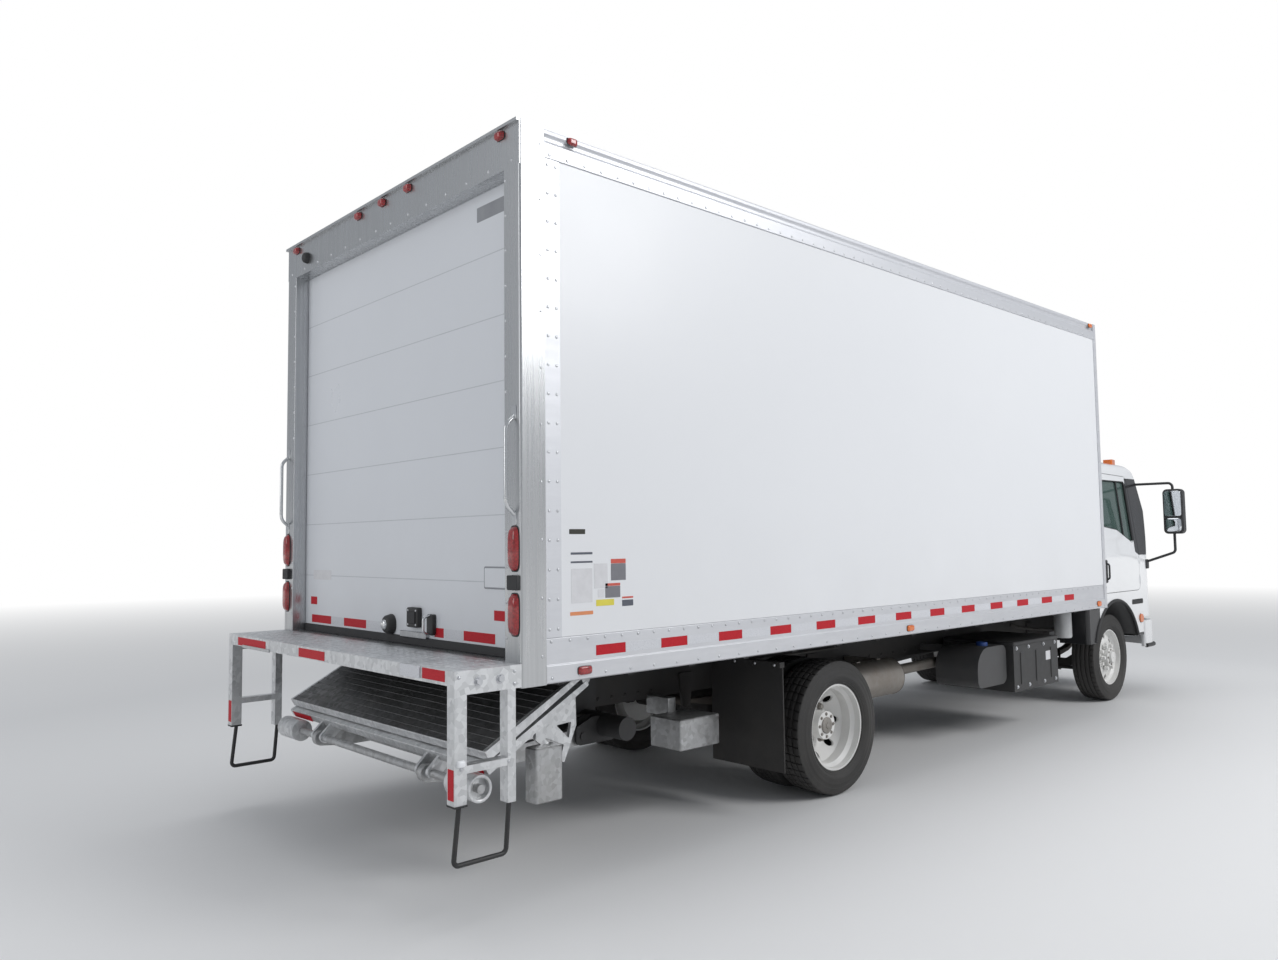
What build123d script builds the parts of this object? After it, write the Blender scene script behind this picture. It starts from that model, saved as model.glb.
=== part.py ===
"""Low-cab-forward box truck with a dry-freight body and a tuck-under liftgate.

X runs forward, Y to the truck's left and Z up from the ground. The origin is on the ground,
midway between the deck's rear edge and the bumper's face. All sizes are in millimetres.
"""
from build123d import *
import os

# Wheelbase and overhangs, which place everything along X.
WHEELBASE = 4450
REAR_OVERHANG = 2700
FRONT_OVERHANG = 1110
REAR_X = (REAR_OVERHANG - WHEELBASE - FRONT_OVERHANG) / 2
FRONT_X = REAR_X + WHEELBASE
DECK_REAR_X = REAR_X - REAR_OVERHANG
BUMPER_X = FRONT_X + FRONT_OVERHANG

# Tyres, disc wheels and tracks.
TYRE_R = 395
TYRE_WIDTH = 225
TREAD_WIDTH = 190
BEAD_R = 248
FLANGE_R = 260
RIM_HALF = 88
RIM_T = 8
DISC_T = 12
FRONT_WHEEL_Y = 830
REAR_DUAL_Y = 857
DUAL_SPACING = 254
STUD_CIRCLE_R = 111
STUD_COUNT = 6
STUD_R = 10
HAND_HOLE_CIRCLE_R = 172
FRONT_HUB_R = 84
REAR_HUB_R = 82
DRUM_R = 178
SPINDLE_R = 35
RUN_FIT = 0.05

# Box body.
BODY_WIDTH = 2440
BODY_LENGTH = 6090
BODY_TOP = 3330
RAIL_BOTTOM = 900
FLOOR_TOP = 1000
FLOOR_T = 35
DECK_DEPTH = 320
BODY_REAR_X = DECK_REAR_X + DECK_DEPTH
BODY_FRONT_X = BODY_REAR_X + BODY_LENGTH
WALL_T = 40
RAIL_PROUD = 6
BOTTOM_RAIL_H = 194
TOP_RAIL_H = 140
RAIL_DEPTH = 46
SEAM = 1
POST_W = 120
POST_DEPTH = 130
POST_LIP = 80
HEADER_H = 200
CORNER_W = 85
CORNER_R = 45
DOOR_T = 25
ROOF_T = 35
HALF_BODY = BODY_WIDTH / 2
WALL_FACE = HALF_BODY - RAIL_PROUD
WALL_INNER = WALL_FACE - WALL_T

# Chassis.
RAIL_TOP = 800
RAIL_H = 200
RAIL_FLANGE = 65
RAIL_WEB = 8
FRAME_HALF = 425
FRAME_REAR_X = REAR_X - 1690
FRAME_FRONT_X = FRONT_X + 900
RAIL_LOW = RAIL_TOP - RAIL_H

# Cab.
CAB_REAR_X = FRONT_X - 630
CAB_FRONT_X = FRONT_X + 1040
CAB_HALF = 1000
CAB_LOW = 560
CAB_FLOOR = 940
CAB_TOP = 2270
CAB_WALL = 50
ARCH_R = 520
NOSE_LOW = 730
TILT_X = FRONT_X + 1000
TILT_Z = 720
TILT_TUBE_R = 22
TILT_CLEAR_R = 34
DOOR_GAP = 5
DOOR_REAR_X = FRONT_X - 320
DOOR_FRONT_X = FRONT_X + 600
DOOR_LOW = 985

# Liftgate.
DECK_SIDE_H = 95
LEG_REAR_W = 56
LEG_FRONT_W = 40
LEG_LOW = 480
ARM_PIVOT_X = REAR_X - 1550
ARM_PIVOT_Z = 500
PLATFORM_HINGE_X = REAR_X - 2440
PLATFORM_HINGE_Z = 465
PLATFORM_PITCH = 29
PLATFORM_LENGTH = 700
PLATFORM_HALF = 1010
LEAF_T = 45


def block(x0, x1, y0, y1, z0, z1):
    """A block between two corners."""
    return Pos((x0 + x1) / 2, (y0 + y1) / 2, (z0 + z1) / 2) * Box(x1 - x0, y1 - y0, z1 - z0)


def outline(plane, corners):
    """A closed face on a plane, from rows of first coordinate, second coordinate, corner radius."""
    path = FilletPolyline(*[(u, v) for u, v, r in corners], radius=[r for u, v, r in corners], close=True)
    return plane * make_face(path)


def side_plate(corners, y0, y1):
    """A side view of X, Z, radius rows carried across from y0 to y1."""
    return Pos(0, y1, 0) * extrude(outline(Plane.XZ, corners), y1 - y0)


def cross_plate(corners, x0, x1):
    """A rear view of Y, Z, radius rows carried forward from x0 to x1."""
    return Pos(x0, 0, 0) * extrude(outline(Plane.YZ, corners), x1 - x0)


def plan_plate(corners, z0, z1):
    """A plan of X, Y, radius rows carried up from z0 to z1."""
    return Pos(0, 0, z0) * extrude(outline(Plane.XY, corners), z1 - z0)


def bar(start, end, radius):
    """A round bar between two points."""
    axis = Vector(*end) - Vector(*start)
    return Solid.make_cylinder(radius, axis.length, Plane(origin=start, z_dir=axis))


def across(x, z, y0, y1, radius):
    """A round bar along Y."""
    return bar((x, y0, z), (x, y1, z), radius)


def opposite(shape):
    """The same shape on the truck's other side."""
    return mirror(shape, about=Plane.XZ)


def pair(shape):
    """A shape with its mirror image on the other side."""
    return Compound(children=[*shape.solids(), *opposite(shape).solids()])


def apart(*shapes):
    """Separate solids that share one node."""
    return Compound(children=[solid for shape in shapes for solid in shape.solids()])


def fuse(first, *others):
    """Pieces welded into one."""
    for other in others:
        first = first + other
    return first


def write(node, shape):
    """Saves one node as a STEP file."""
    export_step(shape, "parts/" + node + ".step")


os.makedirs("parts", exist_ok=True)


# Tyres: one revolved section, which a steered wheel carries once and a rear set twice.
def tyre(y):
    """A tyre about the Y axis, centred at y."""
    half = TYRE_WIDTH / 2
    tread = TREAD_WIDTH / 2
    section = [
        (BEAD_R, y - 76, 0), (FLANGE_R + 3, y - 77, 0), (BEAD_R + 45, y - half, 25), (BEAD_R + 90, y - half, 50),
        (TYRE_R - 8, y - tread, 18), (TYRE_R, y - tread + 30, 0), (TYRE_R, y + tread - 30, 0),
        (TYRE_R - 8, y + tread, 18), (BEAD_R + 90, y + half, 50), (BEAD_R + 45, y + half, 25),
        (FLANGE_R + 3, y + 77, 0), (BEAD_R, y + 76, 0),
    ]
    return revolve(outline(Plane.XY, section), Axis.Y)


# Disc wheels: a rolled rim, and a disc pressed inward or outward from it.
def rim_barrel(y):
    """The rolled rim, with its flanges and drop centre."""
    outer = [
        (FLANGE_R, RIM_HALF), (FLANGE_R, RIM_HALF - 8), (BEAD_R, RIM_HALF - 10), (BEAD_R - 2, 45),
        (BEAD_R - 22, 25), (BEAD_R - 22, -25), (BEAD_R - 2, -45), (BEAD_R, 10 - RIM_HALF),
        (FLANGE_R, 8 - RIM_HALF), (FLANGE_R, -RIM_HALF),
    ]
    inner = [
        (BEAD_R - RIM_T, -RIM_HALF), (BEAD_R - 10, -49), (BEAD_R - 30, -29),
        (BEAD_R - 30, 29), (BEAD_R - 10, 49), (BEAD_R - RIM_T, RIM_HALF),
    ]
    section = [(u, y + v, 0) for u, v in outer + inner]
    return revolve(outline(Plane.XY, section), Axis.Y)


def disc(y_centre, y_edge):
    """The pressed disc: flat at the studs, and a cone out to the rim."""
    section = [
        (0, y_centre, 0), (140, y_centre, 25), (170, y_centre + 0.25 * (y_edge - y_centre), 30),
        (BEAD_R - 26, y_edge, 0), (BEAD_R - 26, y_edge + DISC_T, 0),
        (165, y_centre + DISC_T + 0.25 * (y_edge - y_centre), 30), (140, y_centre + DISC_T, 25),
        (0, y_centre + DISC_T, 0),
    ]
    return revolve(outline(Plane.XY, section), Axis.Y)


def around(piece, count, start=0.0):
    """Copies of a piece about the wheel's axis."""
    return [Rot(0, start + 360 * k / count, 0) * piece for k in range(count)]


def wheel_at(x, shape):
    """A wheel moved from the origin to its axle."""
    return Pos(x, 0, TYRE_R) * shape


FRONT_DISC_Y = FRONT_WHEEL_Y + 38
HAND_HOLES = 8


def front_wheel():
    """The left steered wheel: disc pushed out, open hub bored for the spindle, six nuts."""
    disc_part = disc(FRONT_DISC_Y, FRONT_DISC_Y - 22)
    holes = around(across(0, HAND_HOLE_CIRCLE_R + 12, FRONT_WHEEL_Y - 60, FRONT_WHEEL_Y + 120, 22), HAND_HOLES)
    hub = across(0, 0, FRONT_WHEEL_Y - 70, FRONT_DISC_Y + 62, FRONT_HUB_R)
    cap = across(0, 0, FRONT_DISC_Y + 62, FRONT_DISC_Y + 82, 48)
    studs = around(across(0, STUD_CIRCLE_R, FRONT_DISC_Y, FRONT_DISC_Y + 34, STUD_R + 6), STUD_COUNT)
    solid = rim_barrel(FRONT_WHEEL_Y) + disc_part
    for hole in holes:
        solid = solid - hole
    bore = across(0, 0, FRONT_WHEEL_Y - 71, FRONT_DISC_Y + 30, SPINDLE_R + RUN_FIT)
    return fuse(solid, hub, cap, *studs) - bore


def rear_wheels():
    """The left twin set: two wheels bolted disc to disc, with hub, drum and studs."""
    outer_y = REAR_DUAL_Y + DUAL_SPACING / 2
    inner_y = REAR_DUAL_Y - DUAL_SPACING / 2
    outer_disc = disc(REAR_DUAL_Y, outer_y - 40)
    inner_disc = disc(REAR_DUAL_Y - DISC_T, inner_y + 28)
    hole = across(0, HAND_HOLE_CIRCLE_R + 12, REAR_DUAL_Y - 100, REAR_DUAL_Y + 130, 22)
    solid = rim_barrel(outer_y) + rim_barrel(inner_y) + outer_disc + inner_disc
    for cut in around(hole, HAND_HOLES):
        solid = solid - cut
    hub = across(0, 0, REAR_DUAL_Y - 60, REAR_DUAL_Y + 140, REAR_HUB_R)
    drum = across(0, 0, inner_y - 95, REAR_DUAL_Y - DISC_T, DRUM_R)
    studs = around(across(0, STUD_CIRCLE_R, REAR_DUAL_Y, REAR_DUAL_Y + 50, STUD_R + 6), STUD_COUNT)
    bore = across(0, 0, inner_y - 96, REAR_DUAL_Y + 100, SPINDLE_R + RUN_FIT)
    return fuse(solid, drum, hub, *studs) - bore


left_front_tyre = wheel_at(FRONT_X, tyre(FRONT_WHEEL_Y))
left_front_rim = wheel_at(FRONT_X, front_wheel())
left_rear_tyres = wheel_at(REAR_X, apart(*[tyre(REAR_DUAL_Y + s * DUAL_SPACING / 2) for s in (-1, 1)]))
left_rear_rims = wheel_at(REAR_X, rear_wheels())
for node, left in (
    ("front_tyre", left_front_tyre), ("front_rim", left_front_rim),
    ("rear_tyres", left_rear_tyres), ("rear_rims", left_rear_rims),
):
    write(node + "_left", left)
    write(node + "_right", opposite(left))

# Front axle: a forged beam with a kingpin eye at each end, and the knuckles that turn on it.
KINGPIN_Y = 690
KINGPIN_R = 18
BEAM_EYE_R = 42
BEAM_EYE_H = 100
BEAM_HALF_X = 35
THRUST_GAP = 2
BEAM_LOW_Z = TYRE_R - 130
SPRING_Y = 392
SPRING_W = 65

beam_profile = [
    (-KINGPIN_Y, TYRE_R + 40, 0), (-KINGPIN_Y, TYRE_R - 46, 0), (46 - KINGPIN_Y, TYRE_R - 46, 15),
    (-540, BEAM_LOW_Z, 60), (540, BEAM_LOW_Z, 60), (KINGPIN_Y - 46, TYRE_R - 46, 15),
    (KINGPIN_Y, TYRE_R - 46, 0), (KINGPIN_Y, TYRE_R + 40, 0),
    (KINGPIN_Y - 40, TYRE_R + 40, 20), (520, BEAM_LOW_Z + 85, 60), (-520, BEAM_LOW_Z + 85, 60),
    (40 - KINGPIN_Y, TYRE_R + 40, 20),
]
beam = cross_plate(beam_profile, FRONT_X - BEAM_HALF_X, FRONT_X + BEAM_HALF_X)
for side in (-1, 1):
    eye_low = TYRE_R - BEAM_EYE_H / 2
    pin_axis = (FRONT_X, side * KINGPIN_Y)
    beam = beam + bar((*pin_axis, eye_low), (*pin_axis, eye_low + BEAM_EYE_H), BEAM_EYE_R)
for side in (-1, 1):
    pin_axis = (FRONT_X, side * KINGPIN_Y)
    beam = beam - bar((*pin_axis, BEAM_LOW_Z - 10), (*pin_axis, TYRE_R + 200), KINGPIN_R + RUN_FIT)
write("front_axle_beam", beam)

YOKE_T = 26
YOKE_REACH = 58
yoke_low = TYRE_R - BEAM_EYE_H / 2 - THRUST_GAP - YOKE_T
yoke_high = TYRE_R + BEAM_EYE_H / 2 + THRUST_GAP
back_y = KINGPIN_Y + BEAM_EYE_R + 6
knuckle = bar((FRONT_X, KINGPIN_Y, yoke_low), (FRONT_X, KINGPIN_Y, yoke_high + YOKE_T), KINGPIN_R)
for lug_z in (yoke_low, yoke_high):
    lug = bar((FRONT_X, KINGPIN_Y, lug_z), (FRONT_X, KINGPIN_Y, lug_z + YOKE_T), 36)
    arm = block(FRONT_X - 36, FRONT_X + 36, KINGPIN_Y, back_y + 14, lug_z, lug_z + YOKE_T)
    knuckle = knuckle + lug + arm
knuckle = knuckle + block(FRONT_X - 45, FRONT_X + 45, back_y, back_y + 18, yoke_low, yoke_high + YOKE_T)
knuckle = knuckle + across(FRONT_X, TYRE_R, back_y + 10, FRONT_DISC_Y + 24, SPINDLE_R)
STEERING_ARM = 190
TIE_PIN_R = 12
tie_x = FRONT_X - STEERING_ARM
arm_low = yoke_low - 4
steering_arm = plan_plate(
    [(FRONT_X, KINGPIN_Y - 30, 0), (FRONT_X, KINGPIN_Y + 30, 0), (tie_x, KINGPIN_Y + 22, 20),
     (tie_x - 22, KINGPIN_Y, 20), (tie_x, KINGPIN_Y - 22, 20)], arm_low, arm_low + 20)
knuckle = knuckle + steering_arm + bar((tie_x, KINGPIN_Y, arm_low - 34), (tie_x, KINGPIN_Y, arm_low), TIE_PIN_R)
write("knuckle_left", knuckle)
write("knuckle_right", opposite(knuckle))

# Tie rod: a tube that joins the steering arms, with a bored ball end on each pin.
tie_z = arm_low - 20
tie_rod = bar((tie_x, -KINGPIN_Y, tie_z), (tie_x, KINGPIN_Y, tie_z), 15)
for side in (-1, 1):
    tie_rod = tie_rod + bar((tie_x, side * KINGPIN_Y, tie_z - 14), (tie_x, side * KINGPIN_Y, tie_z + 14), 20)
for side in (-1, 1):
    pin_play = RUN_FIT if side == 1 else 1
    tie_rod = tie_rod - bar((tie_x, side * KINGPIN_Y, tie_z - 40), (tie_x, side * KINGPIN_Y, tie_z + 40),
                            TIE_PIN_R + pin_play)
write("tie_rod", tie_rod)


# Leaf springs: bowed stacks clamped on the axles, with an eye at each end.
def leaf_spring(x, seat_z, half_length, thickness, rise):
    """One left spring: a stack bowed between its eyes, centred on an axle."""
    corners = [
        (x - half_length, seat_z + rise + 14, 0), (x - half_length / 2, seat_z + rise / 3, 300),
        (x, seat_z, 400), (x + half_length / 2, seat_z + rise / 3, 300), (x + half_length, seat_z + rise + 14, 0),
        (x + half_length, seat_z + rise + 30, 0), (x + half_length / 2, seat_z + rise / 3 + thickness * 0.7, 300),
        (x, seat_z + thickness, 400), (x - half_length / 2, seat_z + rise / 3 + thickness * 0.7, 300),
        (x - half_length, seat_z + rise + 30, 0),
    ]
    half = SPRING_W / 2
    stack = side_plate(corners, SPRING_Y - half, SPRING_Y + half)
    for end in (-1, 1):
        eye_x = x + end * half_length
        stack = stack + across(eye_x, seat_z + rise + 22, SPRING_Y - half, SPRING_Y + half, 26)
    return stack


FRONT_SEAT_Z = BEAM_LOW_Z + 85
AXLE_TUBE_R = 62
REAR_SEAT_Z = TYRE_R + AXLE_TUBE_R + 6
front_spring = leaf_spring(FRONT_X, FRONT_SEAT_Z + 2, 560, 48, 130)
rear_spring = leaf_spring(REAR_X, REAR_SEAT_Z + 2, 620, 85, 60)
write("leaf_springs", apart(pair(front_spring), pair(rear_spring)))

# Rear axle: a banjo housing with its differential, spring pads and open tube ends.
TUBE_END = REAR_DUAL_Y - DUAL_SPACING / 2 - 100
housing = across(REAR_X, TYRE_R, -TUBE_END, TUBE_END, AXLE_TUBE_R)
bowl = [(0, -150, 0), (120, -150, 40), (185, -60, 60), (185, 60, 60), (120, 150, 40), (0, 150, 0)]
housing = housing + wheel_at(REAR_X, revolve(outline(Plane.XY, bowl), Axis.Y))
housing = housing + bar((REAR_X, 0, TYRE_R), (REAR_X + 340, 0, TYRE_R + 22), 72)
for side in (-1, 1):
    spindle_end = side * (REAR_DUAL_Y + 90)
    housing = housing + across(REAR_X, TYRE_R, min(0, spindle_end), max(0, spindle_end), SPINDLE_R)
    pad_y = side * SPRING_Y
    housing = housing + block(REAR_X - 70, REAR_X + 70, pad_y - 45, pad_y + 45, TYRE_R, REAR_SEAT_Z + 2)
write("rear_axle_housing", housing)

# Engine and gearbox: one plain block each, low between the frame rails.
ENGINE_REAR_X = FRONT_X - 440
ENGINE_FRONT_X = FRONT_X + 150
ENGINE_TOP = 1150
GEARBOX_REAR_X = FRONT_X - 1180
SHAFT_Z = 560
engine = block(ENGINE_REAR_X, ENGINE_FRONT_X, -300, 300, 430, ENGINE_TOP)
gearbox = side_plate(
    [(GEARBOX_REAR_X, SHAFT_Z - 90, 40), (ENGINE_REAR_X, 480, 0), (ENGINE_REAR_X, 860, 0),
     (GEARBOX_REAR_X, SHAFT_Z + 90, 40)], -170, 170)
engine = engine + gearbox
write("engine_block", engine)

# Driveshaft: a tube with a yoke at each end.
shaft_front = (GEARBOX_REAR_X, 0, SHAFT_Z)
shaft_rear = (REAR_X + 340, 0, TYRE_R + 22)
driveshaft = bar(shaft_rear, shaft_front, 45) - engine - housing
write("driveshaft", driveshaft)


# Frame: two channel rails, and cross-members set between their webs.
def channel(y_web, y_flange):
    """One rail: web and two flanges, open towards the truck's centre."""
    web = block(FRAME_REAR_X, FRAME_FRONT_X, min(y_web, y_web - RAIL_WEB), max(y_web, y_web - RAIL_WEB),
                RAIL_LOW, RAIL_TOP)
    top = block(FRAME_REAR_X, FRAME_FRONT_X, y_flange, y_web, RAIL_TOP - RAIL_WEB, RAIL_TOP)
    low = block(FRAME_REAR_X, FRAME_FRONT_X, y_flange, y_web, RAIL_LOW, RAIL_LOW + RAIL_WEB)
    return web + top + low


left_rail = channel(FRAME_HALF, FRAME_HALF - RAIL_FLANGE)
SPRING_HANGERS = [  # X of the eye, Z of the eye
    (FRONT_X - 560, FRONT_SEAT_Z + 154), (FRONT_X + 560, FRONT_SEAT_Z + 154),
    (REAR_X - 620, REAR_SEAT_Z + 84), (REAR_X + 620, REAR_SEAT_Z + 84),
]
for eye_x, eye_z in SPRING_HANGERS:
    hanger = side_plate([(eye_x - 60, RAIL_LOW + 120, 10), (eye_x + 60, RAIL_LOW + 120, 10),
                         (eye_x + 32, eye_z - 32, 25), (eye_x - 32, eye_z - 32, 25)],
                        FRAME_HALF, FRAME_HALF + 14)
    pin = across(eye_x, eye_z, SPRING_Y + SPRING_W / 2, FRAME_HALF + 14, 18)
    left_rail = left_rail + hanger + pin
write("frame_rails", pair(left_rail))

CROSS_MEMBERS = [  # X from the rear axle, height
    (-1650, 160), (-760, 120), (760, 120), (1700, 120), (2600, 120), (5270, 160),
]
member_half = FRAME_HALF - RAIL_WEB
members = []
for station, height in CROSS_MEMBERS:
    x = REAR_X + station
    z_mid = (RAIL_TOP + RAIL_LOW) / 2
    members.append(block(x - 35, x + 35, -member_half, member_half, z_mid - height / 2, z_mid + height / 2))
write("frame_crossmembers", apart(*members))

# Body floor: boards on cross-members, which rest on two long sills on the frame.
SILL_LOW = RAIL_TOP
MEMBER_LOW = FLOOR_TOP - FLOOR_T - 80
floor_rear_x = BODY_REAR_X + POST_DEPTH
floor_front_x = BODY_FRONT_X - RAIL_DEPTH - SEAM
floor = block(floor_rear_x + SEAM, floor_front_x, -WALL_INNER + SEAM, WALL_INNER - SEAM,
              FLOOR_TOP - FLOOR_T, FLOOR_TOP)
for side in (-1, 1):
    sill_y = side * (FRAME_HALF - RAIL_FLANGE / 2)
    floor = floor + block(FRAME_REAR_X, BODY_FRONT_X - 80, sill_y - 32, sill_y + 32, SILL_LOW,
                          FLOOR_TOP - FLOOR_T)
FLOOR_MEMBERS = 15
for k in range(FLOOR_MEMBERS):
    x = BODY_REAR_X + 250 + k * (BODY_LENGTH - 400) / (FLOOR_MEMBERS - 1)
    floor = floor + block(x - 20, x + 20, -WALL_INNER + 5, WALL_INNER - 5, MEMBER_LOW, FLOOR_TOP - FLOOR_T)
write("body_floor", floor)

# Side walls, front wall and roof: one flat panel each.
wall_low = RAIL_BOTTOM + BOTTOM_RAIL_H
wall_high = BODY_TOP - TOP_RAIL_H
wall_rear_x = BODY_REAR_X + POST_DEPTH + CORNER_W
wall_front_x = BODY_FRONT_X - CORNER_W
side_wall = block(wall_rear_x + SEAM, wall_front_x - SEAM, WALL_INNER, WALL_FACE, wall_low + SEAM, wall_high - SEAM)
write("side_walls", pair(side_wall))
front_face_x = BODY_FRONT_X - RAIL_PROUD
front_wall = block(front_face_x - WALL_T, front_face_x, CORNER_W - HALF_BODY + SEAM, HALF_BODY - CORNER_W - SEAM,
                   wall_low + SEAM, wall_high - SEAM)
write("front_wall", front_wall)
ROOF_LAP = 9
roof_z = BODY_TOP - 10
roof_half = HALF_BODY - RAIL_DEPTH - ROOF_LAP - SEAM
roof = block(BODY_REAR_X + POST_DEPTH + SEAM, BODY_FRONT_X - RAIL_DEPTH - ROOF_LAP - SEAM, -roof_half, roof_half,
             roof_z - ROOF_T, roof_z)
write("body_roof", roof)


# Body rails: coved top rails, banded bottom rails and corner extrusions round the panels.
def top_section(edge):
    """The top rail's section: rows of distance across, height, radius, for a rail at edge."""
    return [
        (edge - RAIL_DEPTH, wall_high, 0), (edge, wall_high, 4), (edge, BODY_TOP - 72, 6),
        (edge - 14, BODY_TOP - 60, 14), (edge - 14, BODY_TOP - 40, 10), (edge - 2, BODY_TOP - 30, 6),
        (edge - 6, BODY_TOP - 6, 14), (edge - 30, BODY_TOP, 10), (edge - RAIL_DEPTH - ROOF_LAP, BODY_TOP, 0),
        (edge - RAIL_DEPTH - ROOF_LAP, BODY_TOP - 46, 0), (edge - RAIL_DEPTH, BODY_TOP - 46, 0),
    ]


def bottom_section(edge):
    """The bottom rail's section, with a proud lower band."""
    band = RAIL_BOTTOM + 76
    return [
        (edge - RAIL_DEPTH, wall_low, 0), (edge - 5, wall_low, 4), (edge - 5, band + 6, 3),
        (edge, band, 4), (edge, RAIL_BOTTOM + 6, 4), (edge - 14, RAIL_BOTTOM, 6),
        (edge - 30, RAIL_BOTTOM, 0), (edge - 30, RAIL_BOTTOM + 8, 0), (edge - RAIL_DEPTH, RAIL_BOTTOM + 8, 0),
    ]


rails = []
for section in (top_section, bottom_section):
    side_rail = cross_plate(section(HALF_BODY), BODY_REAR_X + POST_DEPTH + SEAM, BODY_FRONT_X - CORNER_W - SEAM)
    rails += [side_rail, opposite(side_rail)]
    cross = [(u, v, r) for u, v, r in section(BODY_FRONT_X)]
    rails.append(side_plate(cross, CORNER_W - HALF_BODY + SEAM, HALF_BODY - CORNER_W - SEAM))
rear_corner = block(BODY_REAR_X + POST_DEPTH + SEAM, wall_rear_x, WALL_INNER, WALL_FACE + 3, wall_low + SEAM,
                    wall_high - SEAM)
front_corner = plan_plate(
    [(BODY_FRONT_X - CORNER_W, WALL_INNER, 0), (BODY_FRONT_X - RAIL_DEPTH, WALL_INNER, 0),
     (BODY_FRONT_X - RAIL_DEPTH, HALF_BODY - CORNER_W, 0), (BODY_FRONT_X, HALF_BODY - CORNER_W, 0),
     (BODY_FRONT_X, HALF_BODY, CORNER_R), (BODY_FRONT_X - CORNER_W, HALF_BODY, 0)],
    RAIL_BOTTOM, BODY_TOP - 6)
rails += [rear_corner, opposite(rear_corner), front_corner, opposite(front_corner)]
write("body_rails", apart(*rails))

# Rear frame: stainless posts, header and sill round the door, and a bent grab rod on each post.
post_inner = HALF_BODY - POST_W
TRACK_T = 55
post = plan_plate(
    [(BODY_REAR_X, post_inner, 4), (BODY_REAR_X, HALF_BODY, 10), (BODY_REAR_X + POST_DEPTH, HALF_BODY, 0),
     (BODY_REAR_X + POST_DEPTH, HALF_BODY - TRACK_T, 0), (BODY_REAR_X + POST_LIP, HALF_BODY - TRACK_T, 0),
     (BODY_REAR_X + POST_LIP, post_inner, 4)],
    RAIL_BOTTOM, BODY_TOP)
header = block(BODY_REAR_X, BODY_REAR_X + POST_LIP, -HALF_BODY + 2, HALF_BODY - 2, BODY_TOP - HEADER_H, BODY_TOP)
header = header + block(BODY_REAR_X, BODY_REAR_X + POST_DEPTH, -HALF_BODY + 2, HALF_BODY - 2, BODY_TOP - 70, BODY_TOP)
header = header + block(BODY_REAR_X - 16, BODY_REAR_X, -HALF_BODY, HALF_BODY, BODY_TOP - 14, BODY_TOP)
rear_sill = block(BODY_REAR_X, BODY_REAR_X + POST_DEPTH, -HALF_BODY + 2, HALF_BODY - 2, RAIL_BOTTOM, FLOOR_TOP)
rod_y = HALF_BODY - 45
ROD_STAND = 45
rod_path = FilletPolyline(
    (BODY_REAR_X, rod_y, 1620), (BODY_REAR_X - ROD_STAND, rod_y, 1660), (BODY_REAR_X - ROD_STAND, rod_y, 2000),
    (BODY_REAR_X, rod_y, 2040), radius=25)
rod_profile = Plane(origin=rod_path @ 0, z_dir=rod_path % 0) * Circle(10)
grab_rod = sweep(rod_profile, rod_path) - post
rear_frame = fuse(post, opposite(post), header, rear_sill)
write("rear_frame", rear_frame)
write("grab_rods", pair(grab_rod))

# Roll-up door: a flat curtain behind the posts' lips, with a rubber seal on the sill.
door_x = BODY_REAR_X + POST_LIP + SEAM
door_half = HALF_BODY - TRACK_T - 5
SEAL_H = 28
curtain = block(door_x, door_x + DOOR_T, -door_half, door_half, FLOOR_TOP + SEAL_H, BODY_TOP - 90)
seal = block(door_x + 4, door_x + DOOR_T - 4, 20 - door_half, door_half - 20, FLOOR_TOP, FLOOR_TOP + SEAL_H)
write("roll_door", curtain + seal)
# The latch: a lock drum, a pull bar on its plate, a keeper and a handle tray.
latch_x = door_x
latch = apart(
    bar((latch_x, 40, 1092), (latch_x - 30, 40, 1092), 55),
    block(latch_x - 28, latch_x, -268, -160, 1090, 1188),
    block(latch_x - 22, latch_x, -405, -347, 1062, 1160),
    block(latch_x - 18, latch_x, -330, -90, 1040, 1068),
)
write("door_latch", latch)

# Lamps on the body: ovals and boxes on the posts, markers on the header, markers on the sides.
lamp_y = HALF_BODY - 45


def oval_lamp(y, z, half_width, half_height, depth):
    """A rounded lamp standing proud of the rear frame."""
    radius = 0.9 * min(half_width, half_height)
    corners = [(y - half_width, z - half_height, radius), (y + half_width, z - half_height, radius),
               (y + half_width, z + half_height, radius), (y - half_width, z + half_height, radius)]
    return cross_plate(corners, BODY_REAR_X - depth, BODY_REAR_X)


lamps = []
for side in (-1, 1):
    for lamp_z, half_height in ((FLOOR_TOP + 201, 92), (FLOOR_TOP + 477, 98)):
        lamps.append(oval_lamp(side * lamp_y, lamp_z, 36, half_height, 22))
    lamps.append(block(BODY_REAR_X - 18, BODY_REAR_X, side * lamp_y - 38, side * lamp_y + 38,
                       FLOOR_TOP + 303, FLOOR_TOP + 366))
HEADER_LAMPS = [-1080, -270, 0, 270, 1080]  # Y of each marker on the header
for y in HEADER_LAMPS:
    lamps.append(oval_lamp(y, BODY_TOP - 40, 32, 20, 26))
low_z = RAIL_BOTTOM + 42
high_z = BODY_TOP - 30
SIDE_LAMPS = [  # X, Z, half length, half height, depth of its seat
    (BODY_REAR_X + 338, low_z, 42, 20, 0), (REAR_X + 591, low_z, 42, 20, 0), (BODY_FRONT_X - 210, low_z, 42, 24, 0),
    (BODY_REAR_X + 289, high_z, 30, 18, 2), (BODY_FRONT_X - 150, high_z, 34, 18, 2),
]
for x, z, half_length, half_height, seat in SIDE_LAMPS:
    lamp = side_plate([(x - half_length, z - half_height, 12), (x + half_length, z - half_height, 12),
                       (x + half_length, z + half_height, 12), (x - half_length, z + half_height, 12)],
                      HALF_BODY - seat, HALF_BODY + 14)
    lamps += [lamp, opposite(lamp)]
write("body_lamps", apart(*lamps))

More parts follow.
